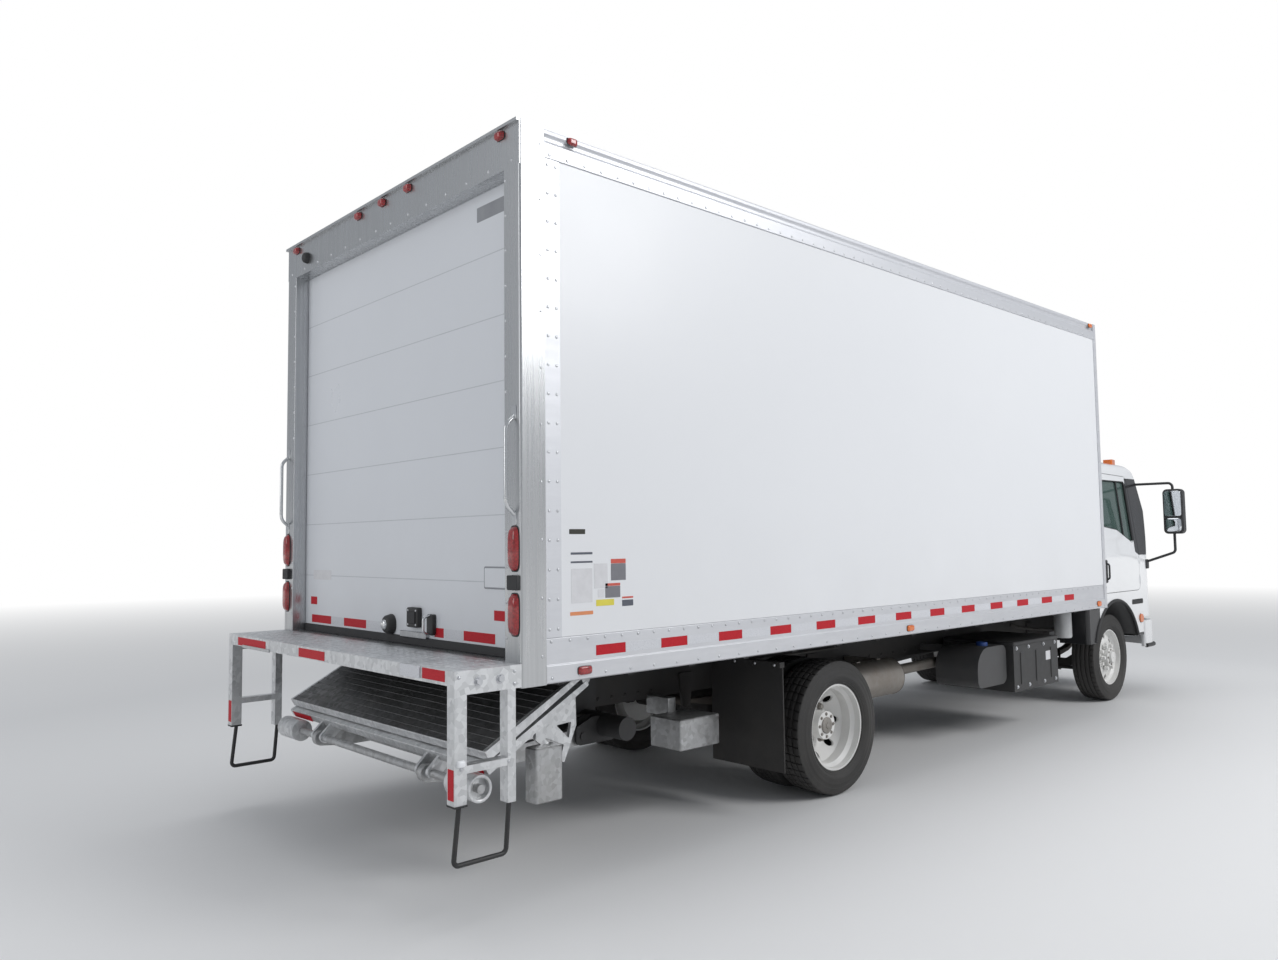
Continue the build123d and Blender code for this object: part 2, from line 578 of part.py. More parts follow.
# Liftgate deck: a full-width plate with end plates, legs and cross-rails, and its wire steps.
deck_low = FLOOR_TOP - DECK_SIDE_H
plate = block(DECK_REAR_X, BODY_REAR_X - SEAM, -HALF_BODY, HALF_BODY, FLOOR_TOP - 12, FLOOR_TOP)
rear_edge = block(DECK_REAR_X, DECK_REAR_X + 10, -HALF_BODY, HALF_BODY, FLOOR_TOP - 60, FLOOR_TOP)
front_edge = block(BODY_REAR_X - SEAM - 10, BODY_REAR_X - SEAM, -HALF_BODY, HALF_BODY, deck_low, FLOOR_TOP)
deck = plate + rear_edge + front_edge
LEG_T = 55
REAR_LEG_X = DECK_REAR_X
FRONT_LEG_X = REAR_X - 2410 - LEG_FRONT_W
for side in (-1, 1):
    y_out = side * HALF_BODY
    y_in = side * (HALF_BODY - LEG_T)
    low, high = min(y_out, y_in), max(y_out, y_in)
    end_plate_in = side * (HALF_BODY - 10)
    deck = deck + block(DECK_REAR_X, BODY_REAR_X - SEAM, min(y_out, end_plate_in), max(y_out, end_plate_in),
                        deck_low, FLOOR_TOP)
    deck = deck + block(REAR_LEG_X, REAR_LEG_X + LEG_REAR_W, low, high, LEG_LOW, FLOOR_TOP)
    deck = deck + block(FRONT_LEG_X, FRONT_LEG_X + LEG_FRONT_W, low, high, LEG_LOW - 30, FLOOR_TOP)
    deck = deck + block(REAR_LEG_X, FRONT_LEG_X + LEG_FRONT_W, low, high, 600, 630)
write("liftgate_deck", deck)

STEP_LOW = 245
STEP_R = 10
step_y = HALF_BODY - 28
step_path = FilletPolyline(
    (REAR_LEG_X + 38, step_y, LEG_LOW), (REAR_LEG_X + 12, step_y, STEP_LOW),
    (FRONT_LEG_X + 8, step_y, STEP_LOW), (FRONT_LEG_X + 24, step_y, LEG_LOW - 30), radius=22)
step_profile = Plane(origin=step_path @ 0, z_dir=step_path % 0) * Circle(STEP_R)
write("wire_steps", pair(sweep(step_profile, step_path) - deck))

# Liftgate mount: hanger plates bolted to the frame's tail, with the pivot tube between them.
ARM_Y = 560
ARM_T = 40
tube_half = 780
mount_tube = across(ARM_PIVOT_X + 150, ARM_PIVOT_Z + 40, -tube_half, tube_half, 60)
hanger_plates = []
for side in (-1, 1):
    for y in (side * (FRAME_HALF + 8), side * (ARM_Y + ARM_T / 2 + 16), side * (ARM_Y - ARM_T / 2 - 16)):
        top_z = RAIL_TOP - 30 if abs(y) < FRAME_HALF + 20 else ARM_PIVOT_Z + 90
        plate_xz = [(ARM_PIVOT_X - 45, ARM_PIVOT_Z - 45, 30), (ARM_PIVOT_X + 220, ARM_PIVOT_Z - 45, 30),
                    (ARM_PIVOT_X + 220, top_z, 10), (ARM_PIVOT_X + 60, top_z, 10),
                    (ARM_PIVOT_X - 45, ARM_PIVOT_Z + 50, 20)]
        hanger_plates.append(side_plate(plate_xz, y - 6, y + 6))
pins = [across(ARM_PIVOT_X, ARM_PIVOT_Z, side * ARM_Y - 48, side * ARM_Y + 48, 20) for side in (-1, 1)]
write("liftgate_mount", fuse(mount_tube, *hanger_plates, *pins))

# Lift arms: two box arms from the pivots to the platform's hinge, with a cross bar between them.
arm_profile = [
    (ARM_PIVOT_X + 42, ARM_PIVOT_Z + 42, 40), (ARM_PIVOT_X + 42, ARM_PIVOT_Z - 42, 40),
    (PLATFORM_HINGE_X + 150, PLATFORM_HINGE_Z - 62, 40), (PLATFORM_HINGE_X - 40, PLATFORM_HINGE_Z - 40, 36),
    (PLATFORM_HINGE_X - 40, PLATFORM_HINGE_Z + 36, 36), (PLATFORM_HINGE_X + 150, PLATFORM_HINGE_Z + 20, 60),
]
arms = across(PLATFORM_HINGE_X + 260, PLATFORM_HINGE_Z - 18, -ARM_Y, ARM_Y, 30)
for side in (-1, 1):
    arms = arms + side_plate(arm_profile, side * ARM_Y - ARM_T / 2, side * ARM_Y + ARM_T / 2)
    arms = arms - across(ARM_PIVOT_X, ARM_PIVOT_Z, side * ARM_Y - 60, side * ARM_Y + 60, 20 + RUN_FIT)
arms = arms + across(PLATFORM_HINGE_X, PLATFORM_HINGE_Z, -PLATFORM_HALF, PLATFORM_HALF, 19)
write("lift_arms", arms)


# Platform: two leaves folded face to face, leaning forward from the hinge at the arms' tips.
def leaf(depth, first, last):
    """One leaf in its own frame: X along the platform from the hinge, Z its thickness."""
    return side_plate(
        [(first, depth, 4), (last, depth + 10, 8), (last, depth + LEAF_T - 10, 8), (first, depth + LEAF_T, 4)],
        -PLATFORM_HALF, PLATFORM_HALF)


LEAF_GAP = 6
leaves = leaf(26, 60, PLATFORM_LENGTH) + leaf(26 + LEAF_T + LEAF_GAP, 90, PLATFORM_LENGTH - 20)
hinge_strap = side_plate(
    [(-26, -26, 24), (40, -26, 24), (PLATFORM_LENGTH * 0.45, 38, 10), (95, 58, 10), (-26, 26, 24)],
    ARM_Y + 40, ARM_Y + 60)
straps = []
for y in (-ARM_Y - 60, -ARM_Y + 40, ARM_Y - 60, ARM_Y + 40):
    straps.append(Pos(0, y - (ARM_Y + 40), 0) * hinge_strap)
fold_link = block(PLATFORM_LENGTH - 80, PLATFORM_LENGTH - 30, -PLATFORM_HALF + 100, PLATFORM_HALF - 100,
                  26 + LEAF_T - 14, 26 + LEAF_T + LEAF_GAP + 14)
platform = fuse(leaves, fold_link, *straps)
bore = across(0, 0, -PLATFORM_HALF - 5, PLATFORM_HALF + 5, 19 + RUN_FIT)
platform = platform - bore
platform = Pos(PLATFORM_HINGE_X, 0, PLATFORM_HINGE_Z) * (Rot(0, -PLATFORM_PITCH, 0) * platform)
# A cast gusset with two triangular holes hangs under each end of the leaves.
GUSSET = [(380, 262), (600, 384), (605, 170), (530, 5), (365, 135)]  # X and Z from the hinge
GUSSET_HOLES = [[(485, 185), (575, 190), (560, 115)], [(405, 145), (530, 90), (515, 45)]]
gusset_x0, gusset_z0 = PLATFORM_HINGE_X, PLATFORM_HINGE_Z
gusset = side_plate([(gusset_x0 + x, gusset_z0 + z, 8) for x, z in GUSSET], 880, 900)
for hole in GUSSET_HOLES:
    gusset = gusset - side_plate([(gusset_x0 + x, gusset_z0 + z, 4) for x, z in hole], 870, 910)
platform = fuse(platform, gusset, opposite(gusset))
write("liftgate_platform", platform)

# Tanks, battery box and exhaust, hung outside the frame rails.


def rounded_tank(x0, x1, y0, y1, z0, z1, radius):
    """A tank with rounded long edges."""
    corners = [(y0, z0, radius), (y1, z0, radius), (y1, z1, radius), (y0, z1, radius)]
    return cross_plate(corners, x0, x1)


muffler_x = REAR_X + 640
muffler = bar((muffler_x, -690, 540), (muffler_x + 520, -690, 540), 125)
tail_pipe = bar((muffler_x - 60, -690, 560), (muffler_x + 1, -690, 560), 38)
lead_pipe = bar((muffler_x + 519, -600, 540), (muffler_x + 1500, -600, 560), 38)
muffler_straps = [block(muffler_x + x, muffler_x + x + 40, -700, -FRAME_HALF, 640, 672) for x in (120, 360)]
write("muffler", fuse(muffler, tail_pipe, lead_pipe, *muffler_straps))
box_x = REAR_X + 2300
battery = block(box_x, box_x + 760, -1050, -470, 330, 700)
battery = battery + block(box_x + 80, box_x + 140, -480, -FRAME_HALF, 600, 690)
battery = battery + block(box_x + 620, box_x + 680, -480, -FRAME_HALF, 600, 690)
write("battery_box", battery)
urea = side_plate([(box_x - 460, 400, 60), (box_x - 20, 400, 60), (box_x - 20, 690, 60), (box_x - 460, 690, 160)],
                  -1000, -660)
urea = urea + block(box_x - 280, box_x - 220, -670, -FRAME_HALF, 630, 680)
write("reductant_tank", urea)
fuel_x = REAR_X + 1500
fuel = rounded_tank(fuel_x, fuel_x + 1250, 470, 1020, 330, 720, 90)
for station in (250, 950):
    fuel = fuel + block(fuel_x + station, fuel_x + station + 60, FRAME_HALF, 480, 620, 700)
write("fuel_tank", fuel)

# Mudflaps: rubber sheets on brackets behind the rear wheels.
flap_x = REAR_X - 560
flap = block(flap_x - 8, flap_x, 600, 1130, 230, 800)
flap = flap + block(flap_x - 30, flap_x + 10, FRAME_HALF, 1130, 800, 830)
write("mudflaps", pair(flap))

# Front bumper: a thin shell wrapped round the cab's corners, on two brackets from the frame,
# with a wide air intake between two fog lamp recesses.
BUMPER_LOW = 440
BUMPER_HIGH = NOSE_LOW - 40
BUMPER_T = 45
bumper_half = CAB_HALF + 10
bumper_back_x = FRONT_X + 660
corner_x = FRONT_X + 930
bumper_outer = [(bumper_back_x, -bumper_half, 30), (corner_x, -bumper_half, 200), (BUMPER_X - 30, -600, 500),
                (BUMPER_X, -200, 0), (BUMPER_X, 200, 0), (BUMPER_X - 30, 600, 500),
                (corner_x, bumper_half, 200), (bumper_back_x, bumper_half, 30)]
bumper_solid = plan_plate(bumper_outer, BUMPER_LOW, BUMPER_HIGH)
inner_half = bumper_half - BUMPER_T
bumper_inner = [(bumper_back_x - 40, -inner_half, 0), (corner_x - 30, -inner_half, 160),
                (BUMPER_X - 30 - BUMPER_T, BUMPER_T - 620, 400), (BUMPER_X - BUMPER_T, -200, 0),
                (BUMPER_X - BUMPER_T, 200, 0), (BUMPER_X - 30 - BUMPER_T, 620 - BUMPER_T, 400),
                (corner_x - 30, inner_half, 160), (bumper_back_x - 40, inner_half, 0)]
bumper = bumper_solid - plan_plate(bumper_inner, BUMPER_LOW - 1, BUMPER_HIGH + 1)
INTAKES = [(-440, 440, 500, 585), (-800, -600, 500, 600), (600, 800, 500, 600)]  # Y and Z of each opening
for y0, y1, z0, z1 in INTAKES:
    intake = cross_plate([(y0, z0, 25), (y1, z0, 25), (y1, z1, 25), (y0, z1, 25)], corner_x - 80, BUMPER_X + 10)
    bumper = bumper - intake
for side in (-1, 1):
    y = side * (FRAME_HALF - 40)
    bumper = bumper + block(FRAME_FRONT_X, BUMPER_X - BUMPER_T + 2, y - 30, y + 30, RAIL_LOW, RAIL_LOW + 60)
write("front_bumper", bumper)


# Cab: its outer form is where a side view, a plan and a rear view meet, each drawn in once
# more by the wall to hollow it.
FORM_CLEAR = 2


def cab_side():
    """The side view, whose back stands just clear of the plan's."""
    rear_x = CAB_REAR_X - FORM_CLEAR
    return outline(Plane.XZ, [
        (rear_x, CAB_LOW, 10), (CAB_FRONT_X, CAB_LOW, 10), (CAB_FRONT_X, 1190, 60),
        (CAB_FRONT_X - 30, 1350, 120), (CAB_FRONT_X - 270, CAB_TOP - 170, 160),
        (CAB_FRONT_X - 470, CAB_TOP - 20, 200), (FRONT_X - 150, CAB_TOP, 0),
        (rear_x + 60, CAB_TOP - 20, 90), (rear_x, CAB_TOP - 120, 60),
    ])


def cab_plan():
    """The plan, with wide front corners and a bowed nose."""
    half = CAB_HALF + FORM_CLEAR
    nose_x = CAB_FRONT_X + FORM_CLEAR
    return outline(Plane.XY, [
        (CAB_REAR_X, -half, 40), (FRONT_X + 920, -half, 220), (nose_x - 30, -620, 400),
        (nose_x, -200, 0), (nose_x, 200, 0), (nose_x - 30, 620, 400),
        (FRONT_X + 920, half, 220), (CAB_REAR_X, half, 40),
    ])


def cab_back():
    """The rear view, with sides that lean in above the belt."""
    return outline(Plane.YZ, [
        (-CAB_HALF, CAB_LOW - 10, 0), (CAB_HALF, CAB_LOW - 10, 0), (CAB_HALF, 1330, 400),
        (CAB_HALF - 90, CAB_TOP - 90, 90), (CAB_HALF - 400, CAB_TOP - 8, 200), (400 - CAB_HALF, CAB_TOP - 8, 200),
        (90 - CAB_HALF, CAB_TOP - 90, 90), (-CAB_HALF, 1330, 400),
    ])


def cab_form(inset):
    """The cab's solid, drawn in by inset on every side."""
    side, plan, back = (offset(face, -inset) if inset else face for face in (cab_side(), cab_plan(), cab_back()))
    across_cab = Pos(0, CAB_HALF + 50, 0) * extrude(side, 2 * CAB_HALF + 100, dir=(0, -1, 0))
    up_cab = extrude(plan, CAB_TOP + 50, dir=(0, 0, 1))
    along_cab = Pos(CAB_REAR_X - 50, 0, 0) * extrude(back, CAB_FRONT_X - CAB_REAR_X + 100, dir=(1, 0, 0))
    return across_cab & up_cab & along_cab


cab_outer = cab_form(0)
cab_inner = cab_form(CAB_WALL)
under_space = extrude(offset(cab_plan(), -CAB_WALL), CAB_FLOOR - CAB_WALL, dir=(0, 0, 1))
floor_pan = extrude(offset(cab_plan(), -CAB_WALL), CAB_FLOOR, dir=(0, 0, 1)) - under_space


def door_outline(gap):
    """The door's side view, smaller all round by gap."""
    return [
        (DOOR_REAR_X + gap, DOOR_LOW + gap, 60), (DOOR_FRONT_X - gap, DOOR_LOW + gap, 60),
        (DOOR_FRONT_X - gap, 1330, 40), (DOOR_FRONT_X - 40 - gap, CAB_TOP - 190 - gap, 60),
        (DOOR_REAR_X + gap, CAB_TOP - 170 - gap, 60),
    ]


def window_outline(inset):
    """The door window's side view: its sill drops towards the front."""
    return [
        (FRONT_X - 250 + inset, 1600 + inset, 40), (FRONT_X + 150, 1560 + inset, 120),
        (FRONT_X + 530 - inset, 1420 + inset, 50), (FRONT_X + 520 - inset, CAB_TOP - 240 - inset, 50),
        (FRONT_X - 250 + inset, CAB_TOP - 240 - inset, 50),
    ]


shell = cab_outer - cab_inner - under_space - floor_pan
# The engine's cover is a box in the floor, which the seats stand on.
COVER_WALL = 30
COVER_TOP = ENGINE_TOP + 90
cover_rear_x = CAB_REAR_X + CAB_WALL + 2
cover_front_x = ENGINE_FRONT_X + 70
cover = block(cover_rear_x, cover_front_x, -740, 740, CAB_FLOOR - CAB_WALL, COVER_TOP)
cover_space = block(cover_rear_x + COVER_WALL, cover_front_x - COVER_WALL, COVER_WALL - 740, 740 - COVER_WALL,
                    0, COVER_TOP - COVER_WALL)
back_opening = block(CAB_REAR_X - 10, CAB_REAR_X + CAB_WALL, -740, 740, 0, CAB_FLOOR - CAB_WALL)
wheel_arch = across(FRONT_X, TYRE_R, -CAB_HALF - 50, CAB_HALF + 50, ARCH_R)
write("cab_floor", floor_pan + cover - cover_space - wheel_arch)
shell = shell - back_opening - wheel_arch
nose_cut = block(FRONT_X + 640, CAB_FRONT_X + 10, -CAB_HALF - 10, CAB_HALF + 10, CAB_LOW - 20, NOSE_LOW)
shell = shell - nose_cut
windshield_cut = cross_plate(
    [(-870, 1400, 60), (870, 1400, 60), (800, CAB_TOP - 240, 80), (-800, CAB_TOP - 240, 80)],
    FRONT_X + 560, CAB_FRONT_X + 60)
rear_window_cut = cross_plate(
    [(-480, 1560, 60), (480, 1560, 60), (480, 1960, 60), (-480, 1960, 60)], CAB_REAR_X - 10, CAB_REAR_X + 120)
shell = shell - windshield_cut - rear_window_cut
GRILLE_HALF = 620
GRILLE_HIGH = 1280
grille_cut = block(FRONT_X + 800, CAB_FRONT_X + 60, -GRILLE_HALF, GRILLE_HALF, NOSE_LOW - 1, GRILLE_HIGH)
headlamp_cut = cross_plate([(640, 780, 20), (965, 800, 20), (965, 960, 40), (640, 960, 20)],
                           FRONT_X + 700, CAB_FRONT_X + 60)
lamp_layer = cab_outer - cab_form(38)
headlamp = lamp_layer & headlamp_cut
shell = shell - headlamp_cut - opposite(headlamp_cut)
doors = {}
glasses = {}
glass_layer = cab_form(22) - cab_form(28)
for name, side in (("left", 1), ("right", -1)):
    y0, y1 = sorted((side * (CAB_HALF - 240), side * (CAB_HALF + 60)))
    opening = side_plate(door_outline(0), y0, y1)
    panel = side_plate(door_outline(DOOR_GAP), y0, y1)
    window = side_plate(window_outline(0), y0, y1)
    door_layer = (cab_outer - cab_inner) & panel
    doors[name] = door_layer - window
    glasses[name] = glass_layer & window
    shell = shell - opening
front_panel = shell & grille_cut
shell = shell - grille_cut
GRILLE_SLOTS = [(790, 560), (850, 570), (910, 580), (970, 590)]  # Z and half length of each slot
SLOT_H = 34
for z, half in GRILLE_SLOTS:
    slot = cross_plate([(-half, z, 15), (half, z, 15), (half, z + SLOT_H, 15), (-half, z + SLOT_H, 15)],
                       CAB_FRONT_X - 100, CAB_FRONT_X + 10)
    front_panel = front_panel - slot
# The cab hinges on a tube between two horns of the frame, through an eye at each side of the panel.
front_panel = front_panel - across(TILT_X, TILT_Z, -GRILLE_HALF, GRILLE_HALF, TILT_CLEAR_R)
EYE_Y = 300
for side in (-1, 1):
    eye = across(TILT_X, TILT_Z, side * EYE_Y - 30, side * EYE_Y + 30, TILT_CLEAR_R + 4)
    front_panel = front_panel + eye
front_panel = front_panel - across(TILT_X, TILT_Z, -GRILLE_HALF, GRILLE_HALF, TILT_TUBE_R + RUN_FIT)
write("front_panel", front_panel)
tilt_hinge = across(TILT_X, TILT_Z, -FRAME_HALF - 15, FRAME_HALF + 15, TILT_TUBE_R)
horn = side_plate([(FRAME_FRONT_X - 150, RAIL_LOW + 10, 10), (FRAME_FRONT_X, RAIL_LOW + 10, 40),
                   (TILT_X + 27, TILT_Z - 27, 26), (TILT_X + 27, TILT_Z + 27, 26),
                   (FRAME_FRONT_X - 150, TILT_Z - 30, 10)], FRAME_HALF, FRAME_HALF + 15)
write("tilt_hinge", fuse(tilt_hinge, horn, opposite(horn)))

# The shell comes apart at its seams: roof, back wall, and the sides with their pillars.
ROOF_SEAM = CAB_TOP - 165
wide = CAB_HALF + 50
roof_space = block(CAB_REAR_X - 50, CAB_FRONT_X + 50, -wide, wide, ROOF_SEAM, CAB_TOP + 50)
back_space = block(CAB_REAR_X - 50, CAB_REAR_X + CAB_WALL, -wide, wide, CAB_LOW - 50, ROOF_SEAM)
cab_roof = shell & roof_space
cab_back = shell & back_space
shell = shell - roof_space - back_space
# Door hinges: a barrel on the door's front edge, and its pin in the pillar.
HINGE_R = 11
HINGE_PIN_R = 5
HINGE_H = 55
for hinge_z in (1060, 1250):
    for name, side in (("left", 1), ("right", -1)):
        axis_xy = (DOOR_FRONT_X, side * CAB_HALF)
        top_z = hinge_z + HINGE_H
        shell = shell - bar((*axis_xy, hinge_z - 1), (*axis_xy, top_z + 1), HINGE_R + DOOR_GAP)
        shell = shell + bar((*axis_xy, hinge_z - 15), (*axis_xy, top_z + 15), HINGE_PIN_R)
        barrel = bar((*axis_xy, hinge_z), (*axis_xy, top_z), HINGE_R)
        doors[name] = doors[name] - bar((*axis_xy, hinge_z - 16), (*axis_xy, hinge_z), HINGE_PIN_R + DOOR_GAP)
        doors[name] = doors[name] - bar((*axis_xy, top_z), (*axis_xy, top_z + 16), HINGE_PIN_R + DOOR_GAP)
        strap_y = sorted((side * (CAB_HALF - 12), side * (CAB_HALF - 1)))
        strap = block(DOOR_FRONT_X - 30, DOOR_FRONT_X, *strap_y, hinge_z, top_z)
        pin_bore = bar((*axis_xy, hinge_z - 1), (*axis_xy, top_z + 1), HINGE_PIN_R + RUN_FIT)
        doors[name] = fuse(doors[name], barrel, strap) - pin_bore
write("cab_shell", shell)
write("cab_roof", cab_roof)
write("cab_back", cab_back)
for name in doors:
    write("door_" + name, doors[name])
    write("door_glass_" + name, glasses[name])
write("cab_glass", apart(glass_layer & windshield_cut, glass_layer & rear_window_cut))

# Cab inside: two seats, a dashboard and the steering wheel on its column.
SEAT_W = 500
seat_y = CAB_HALF - 520
seats = []
for y in (-seat_y, seat_y):
    cushion = block(FRONT_X - 420, FRONT_X + 100, y - SEAT_W / 2, y + SEAT_W / 2, COVER_TOP, COVER_TOP + 140)
    back = block(FRONT_X - 550, FRONT_X - 420, y - SEAT_W / 2, y + SEAT_W / 2, COVER_TOP, 1950)
    seats.append(cushion + back)
dash = side_plate(
    [(FRONT_X + 640, 1130, 30), (FRONT_X + 860, 1130, 10), (FRONT_X + 860, 1330, 10), (FRONT_X + 700, 1400, 40)],
    140 - CAB_HALF, CAB_HALF - 140)
column = bar((FRONT_X + 700, seat_y, 1250), (FRONT_X + 470, seat_y, 1400), 30)
wheel_plane = Plane(origin=(FRONT_X + 460, seat_y, 1407), z_dir=(-0.84, 0, 0.54))
steering_wheel = wheel_plane * Torus(200, 14)
spoke = wheel_plane * Box(30, 390, 14)
write("cab_interior", apart(*seats, fuse(dash, column, steering_wheel, spoke)))

# Mirrors: heads on bent arms from the cab's front corners.
MIRROR_IN = CAB_HALF + 175
MIRROR_OUT = CAB_HALF + 350
head = cross_plate([(MIRROR_IN, 1520, 40), (MIRROR_OUT, 1520, 40), (MIRROR_OUT, 1950, 40), (MIRROR_IN, 1950, 40)],
                   FRONT_X + 780, FRONT_X + 850)
post_y = CAB_HALF + 255
mirror_path = FilletPolyline(
    (FRONT_X + 790, CAB_HALF - 70, 2010), (FRONT_X + 815, post_y, 2010), (FRONT_X + 815, post_y, 1345),
    (FRONT_X + 790, CAB_HALF - 35, 1240), radius=40)
mirror_profile = Plane(origin=mirror_path @ 0, z_dir=mirror_path % 0) * Circle(12)
mirror_arm = sweep(mirror_profile, mirror_path)
mirror_part = head + (mirror_arm - cab_outer)
write("mirrors", pair(mirror_part))

# Headlamps, and the small lamps: five markers on the roof and a round lamp on each side.
write("headlamps", pair(headlamp))
small_lamps = []
for y in (-760, -160, 0, 160, 760):
    marker = plan_plate([(FRONT_X + 560, y - 45, 15), (FRONT_X + 680, y - 30, 12), (FRONT_X + 680, y + 30, 12),
                         (FRONT_X + 560, y + 45, 15)], CAB_TOP - 150, CAB_TOP - 12)
    small_lamps.append(marker - cab_outer)
side_lamp = across(FRONT_X + 575, 719, CAB_HALF - 3, CAB_HALF + 14, 40)
small_lamps += [side_lamp - cab_outer, opposite(side_lamp - cab_outer)]
write("cab_lamps", apart(*small_lamps))
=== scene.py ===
"""Looks of a low-cab-forward box truck with a dry-freight body and a tuck-under liftgate.

Metres, X forward, Y to the truck's left, Z up from the ground.
"""
import bpy
import numpy as np
from mathutils import Matrix, Vector


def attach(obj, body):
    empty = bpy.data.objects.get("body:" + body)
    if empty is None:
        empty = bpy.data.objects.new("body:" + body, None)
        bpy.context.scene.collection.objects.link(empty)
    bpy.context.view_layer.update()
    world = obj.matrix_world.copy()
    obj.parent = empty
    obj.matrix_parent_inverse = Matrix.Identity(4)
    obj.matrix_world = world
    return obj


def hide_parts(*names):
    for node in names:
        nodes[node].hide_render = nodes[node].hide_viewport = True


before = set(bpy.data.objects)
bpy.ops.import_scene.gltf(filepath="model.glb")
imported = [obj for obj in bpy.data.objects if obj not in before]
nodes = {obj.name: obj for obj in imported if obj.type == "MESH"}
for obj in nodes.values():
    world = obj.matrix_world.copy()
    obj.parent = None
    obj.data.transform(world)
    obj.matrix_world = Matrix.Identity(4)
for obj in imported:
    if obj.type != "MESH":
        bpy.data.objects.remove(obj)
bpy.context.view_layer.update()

# Camera: at a standing person's eye behind the right rear corner, at the photograph's angle.
# A 26.7 mm lens on a full-frame sensor, level to within a degree.
EYE = (-6.13319, -4.4657, 1.49469)
TO_RIGHT = (0.73509787, -0.67785012, -0.01226073)
TO_TOP = (-0.03600577, -0.05709304, 0.99771938)
FROM_TRUCK = (-0.67700421, -0.73297994, -0.06637549)
lens = bpy.data.cameras.new("camera")
lens.sensor_width, lens.lens, lens.clip_end = 36.0, 26.665, 400.0
camera = bpy.data.objects.new("camera", lens)
bpy.context.scene.collection.objects.link(camera)
camera.matrix_world = Matrix((*zip(TO_RIGHT, TO_TOP, FROM_TRUCK, EYE), (0.0, 0.0, 0.0, 1.0)))
bpy.context.scene.camera = camera
bpy.context.scene.view_settings.view_transform = "Standard"


# Studio: a pale floor that fades to white far from the truck, a soft key lamp over its right
# front, a wide overhead panel, and a white surround that lights it evenly.
def mesh_piece(name, points, faces, finish, smooth=True):
    """A mesh object at the origin from an array of points and a list of faces, in its finish."""
    mesh = bpy.data.meshes.new(name)
    mesh.from_pydata(np.asarray(points, float).reshape(-1, 3).tolist(), [], faces)
    mesh.polygons.foreach_set("use_smooth", np.full(len(mesh.polygons), smooth))
    mesh.set_sharp_from_angle(angle=np.radians(38.0))
    mesh.materials.append(finish)
    piece = bpy.data.objects.new(name, mesh)
    bpy.context.scene.collection.objects.link(piece)
    return piece


def new_finish(name, colour, roughness, metallic=0.0, **levels):
    """A material with one Principled shader, and handles to its node tree."""
    finish = bpy.data.materials.new(name)
    finish.use_nodes = True
    shader = finish.node_tree.nodes["Principled BSDF"]
    levels.update(Base_Color=(*colour, 1.0), Roughness=roughness, Metallic=metallic)
    for label, value in levels.items():
        shader.inputs[label.replace("_", " ")].default_value = value
    return finish, finish.node_tree, shader


def give(tree, value, socket):
    """Links a socket to another one, or puts a plain value on it."""
    if isinstance(value, bpy.types.NodeSocket):
        tree.links.new(value, socket)
    else:
        socket.default_value = value


def add_node(tree, kind, **settings):
    """A node with its settings made, and its inputs linked or filled."""
    node = tree.nodes.new(kind)
    for label, value in settings.items():
        if hasattr(node, label):
            setattr(node, label, value)
        else:
            give(tree, value, node.inputs[label.replace("_", " ")])
    return node


def maths(tree, operation, *values, clamp=False):
    """What a Math node makes of one value or of two; more are taken up one after the other."""
    result = values[0]
    for value in values[1:] or (None,):
        node = add_node(tree, "ShaderNodeMath", operation=operation, use_clamp=clamp)
        give(tree, result, node.inputs[0])
        if value is not None:
            give(tree, value, node.inputs[1])
        result = node.outputs[0]
    return result


def own_place(tree):
    """The place of a point on the truck, which every pattern follows."""
    return add_node(tree, "ShaderNodeTexCoord").outputs["Object"]


def blend_shaders(tree, share, first, second, end):
    """Sends two shaders, mixed by a share, to the surface."""
    blend = add_node(tree, "ShaderNodeMixShader", Fac=share)
    tree.links.new(first, blend.inputs[1])
    tree.links.new(second, blend.inputs[2])
    tree.links.new(blend.outputs["Shader"], tree.nodes[end].inputs["Surface"])


FLOOR_HALF = 90.0
floor_finish, tree, shader = new_finish("pale_floor", (0.74, 0.74, 0.74), 0.85)
reach = add_node(tree, "ShaderNodeVectorMath", operation="LENGTH")
tree.links.new(own_place(tree), reach.inputs[0])
fade = add_node(tree, "ShaderNodeMapRange", Value=reach.outputs["Value"], From_Min=7.0, From_Max=26.0)
white = add_node(tree, "ShaderNodeEmission")
blend_shaders(tree, fade.outputs["Result"], shader.outputs["BSDF"], white.outputs["Emission"],
              "Material Output")
corners = [(x * FLOOR_HALF, y * FLOOR_HALF, 0) for x, y in ((-1, -1), (1, -1), (1, 1), (-1, 1))]
floor = mesh_piece("floor", corners, [(0, 1, 2, 3)], floor_finish)

studio = bpy.data.worlds.new("studio")
bpy.context.scene.world = studio
studio.use_nodes = True
tree = studio.node_tree
fill = tree.nodes["Background"]
fill.inputs["Color"].default_value = (0.90, 0.94, 1.0, 1.0)
fill.inputs["Strength"].default_value = 0.46
seen = add_node(tree, "ShaderNodeBackground", Color=(1.0, 1.0, 1.0, 1.0), Strength=1.0)
ray = add_node(tree, "ShaderNodeLightPath").outputs
blend_shaders(tree, maths(tree, "MAXIMUM", ray["Is Camera Ray"], ray["Is Transmission Ray"]),
              fill.outputs["Background"], seen.outputs["Background"], "World Output")

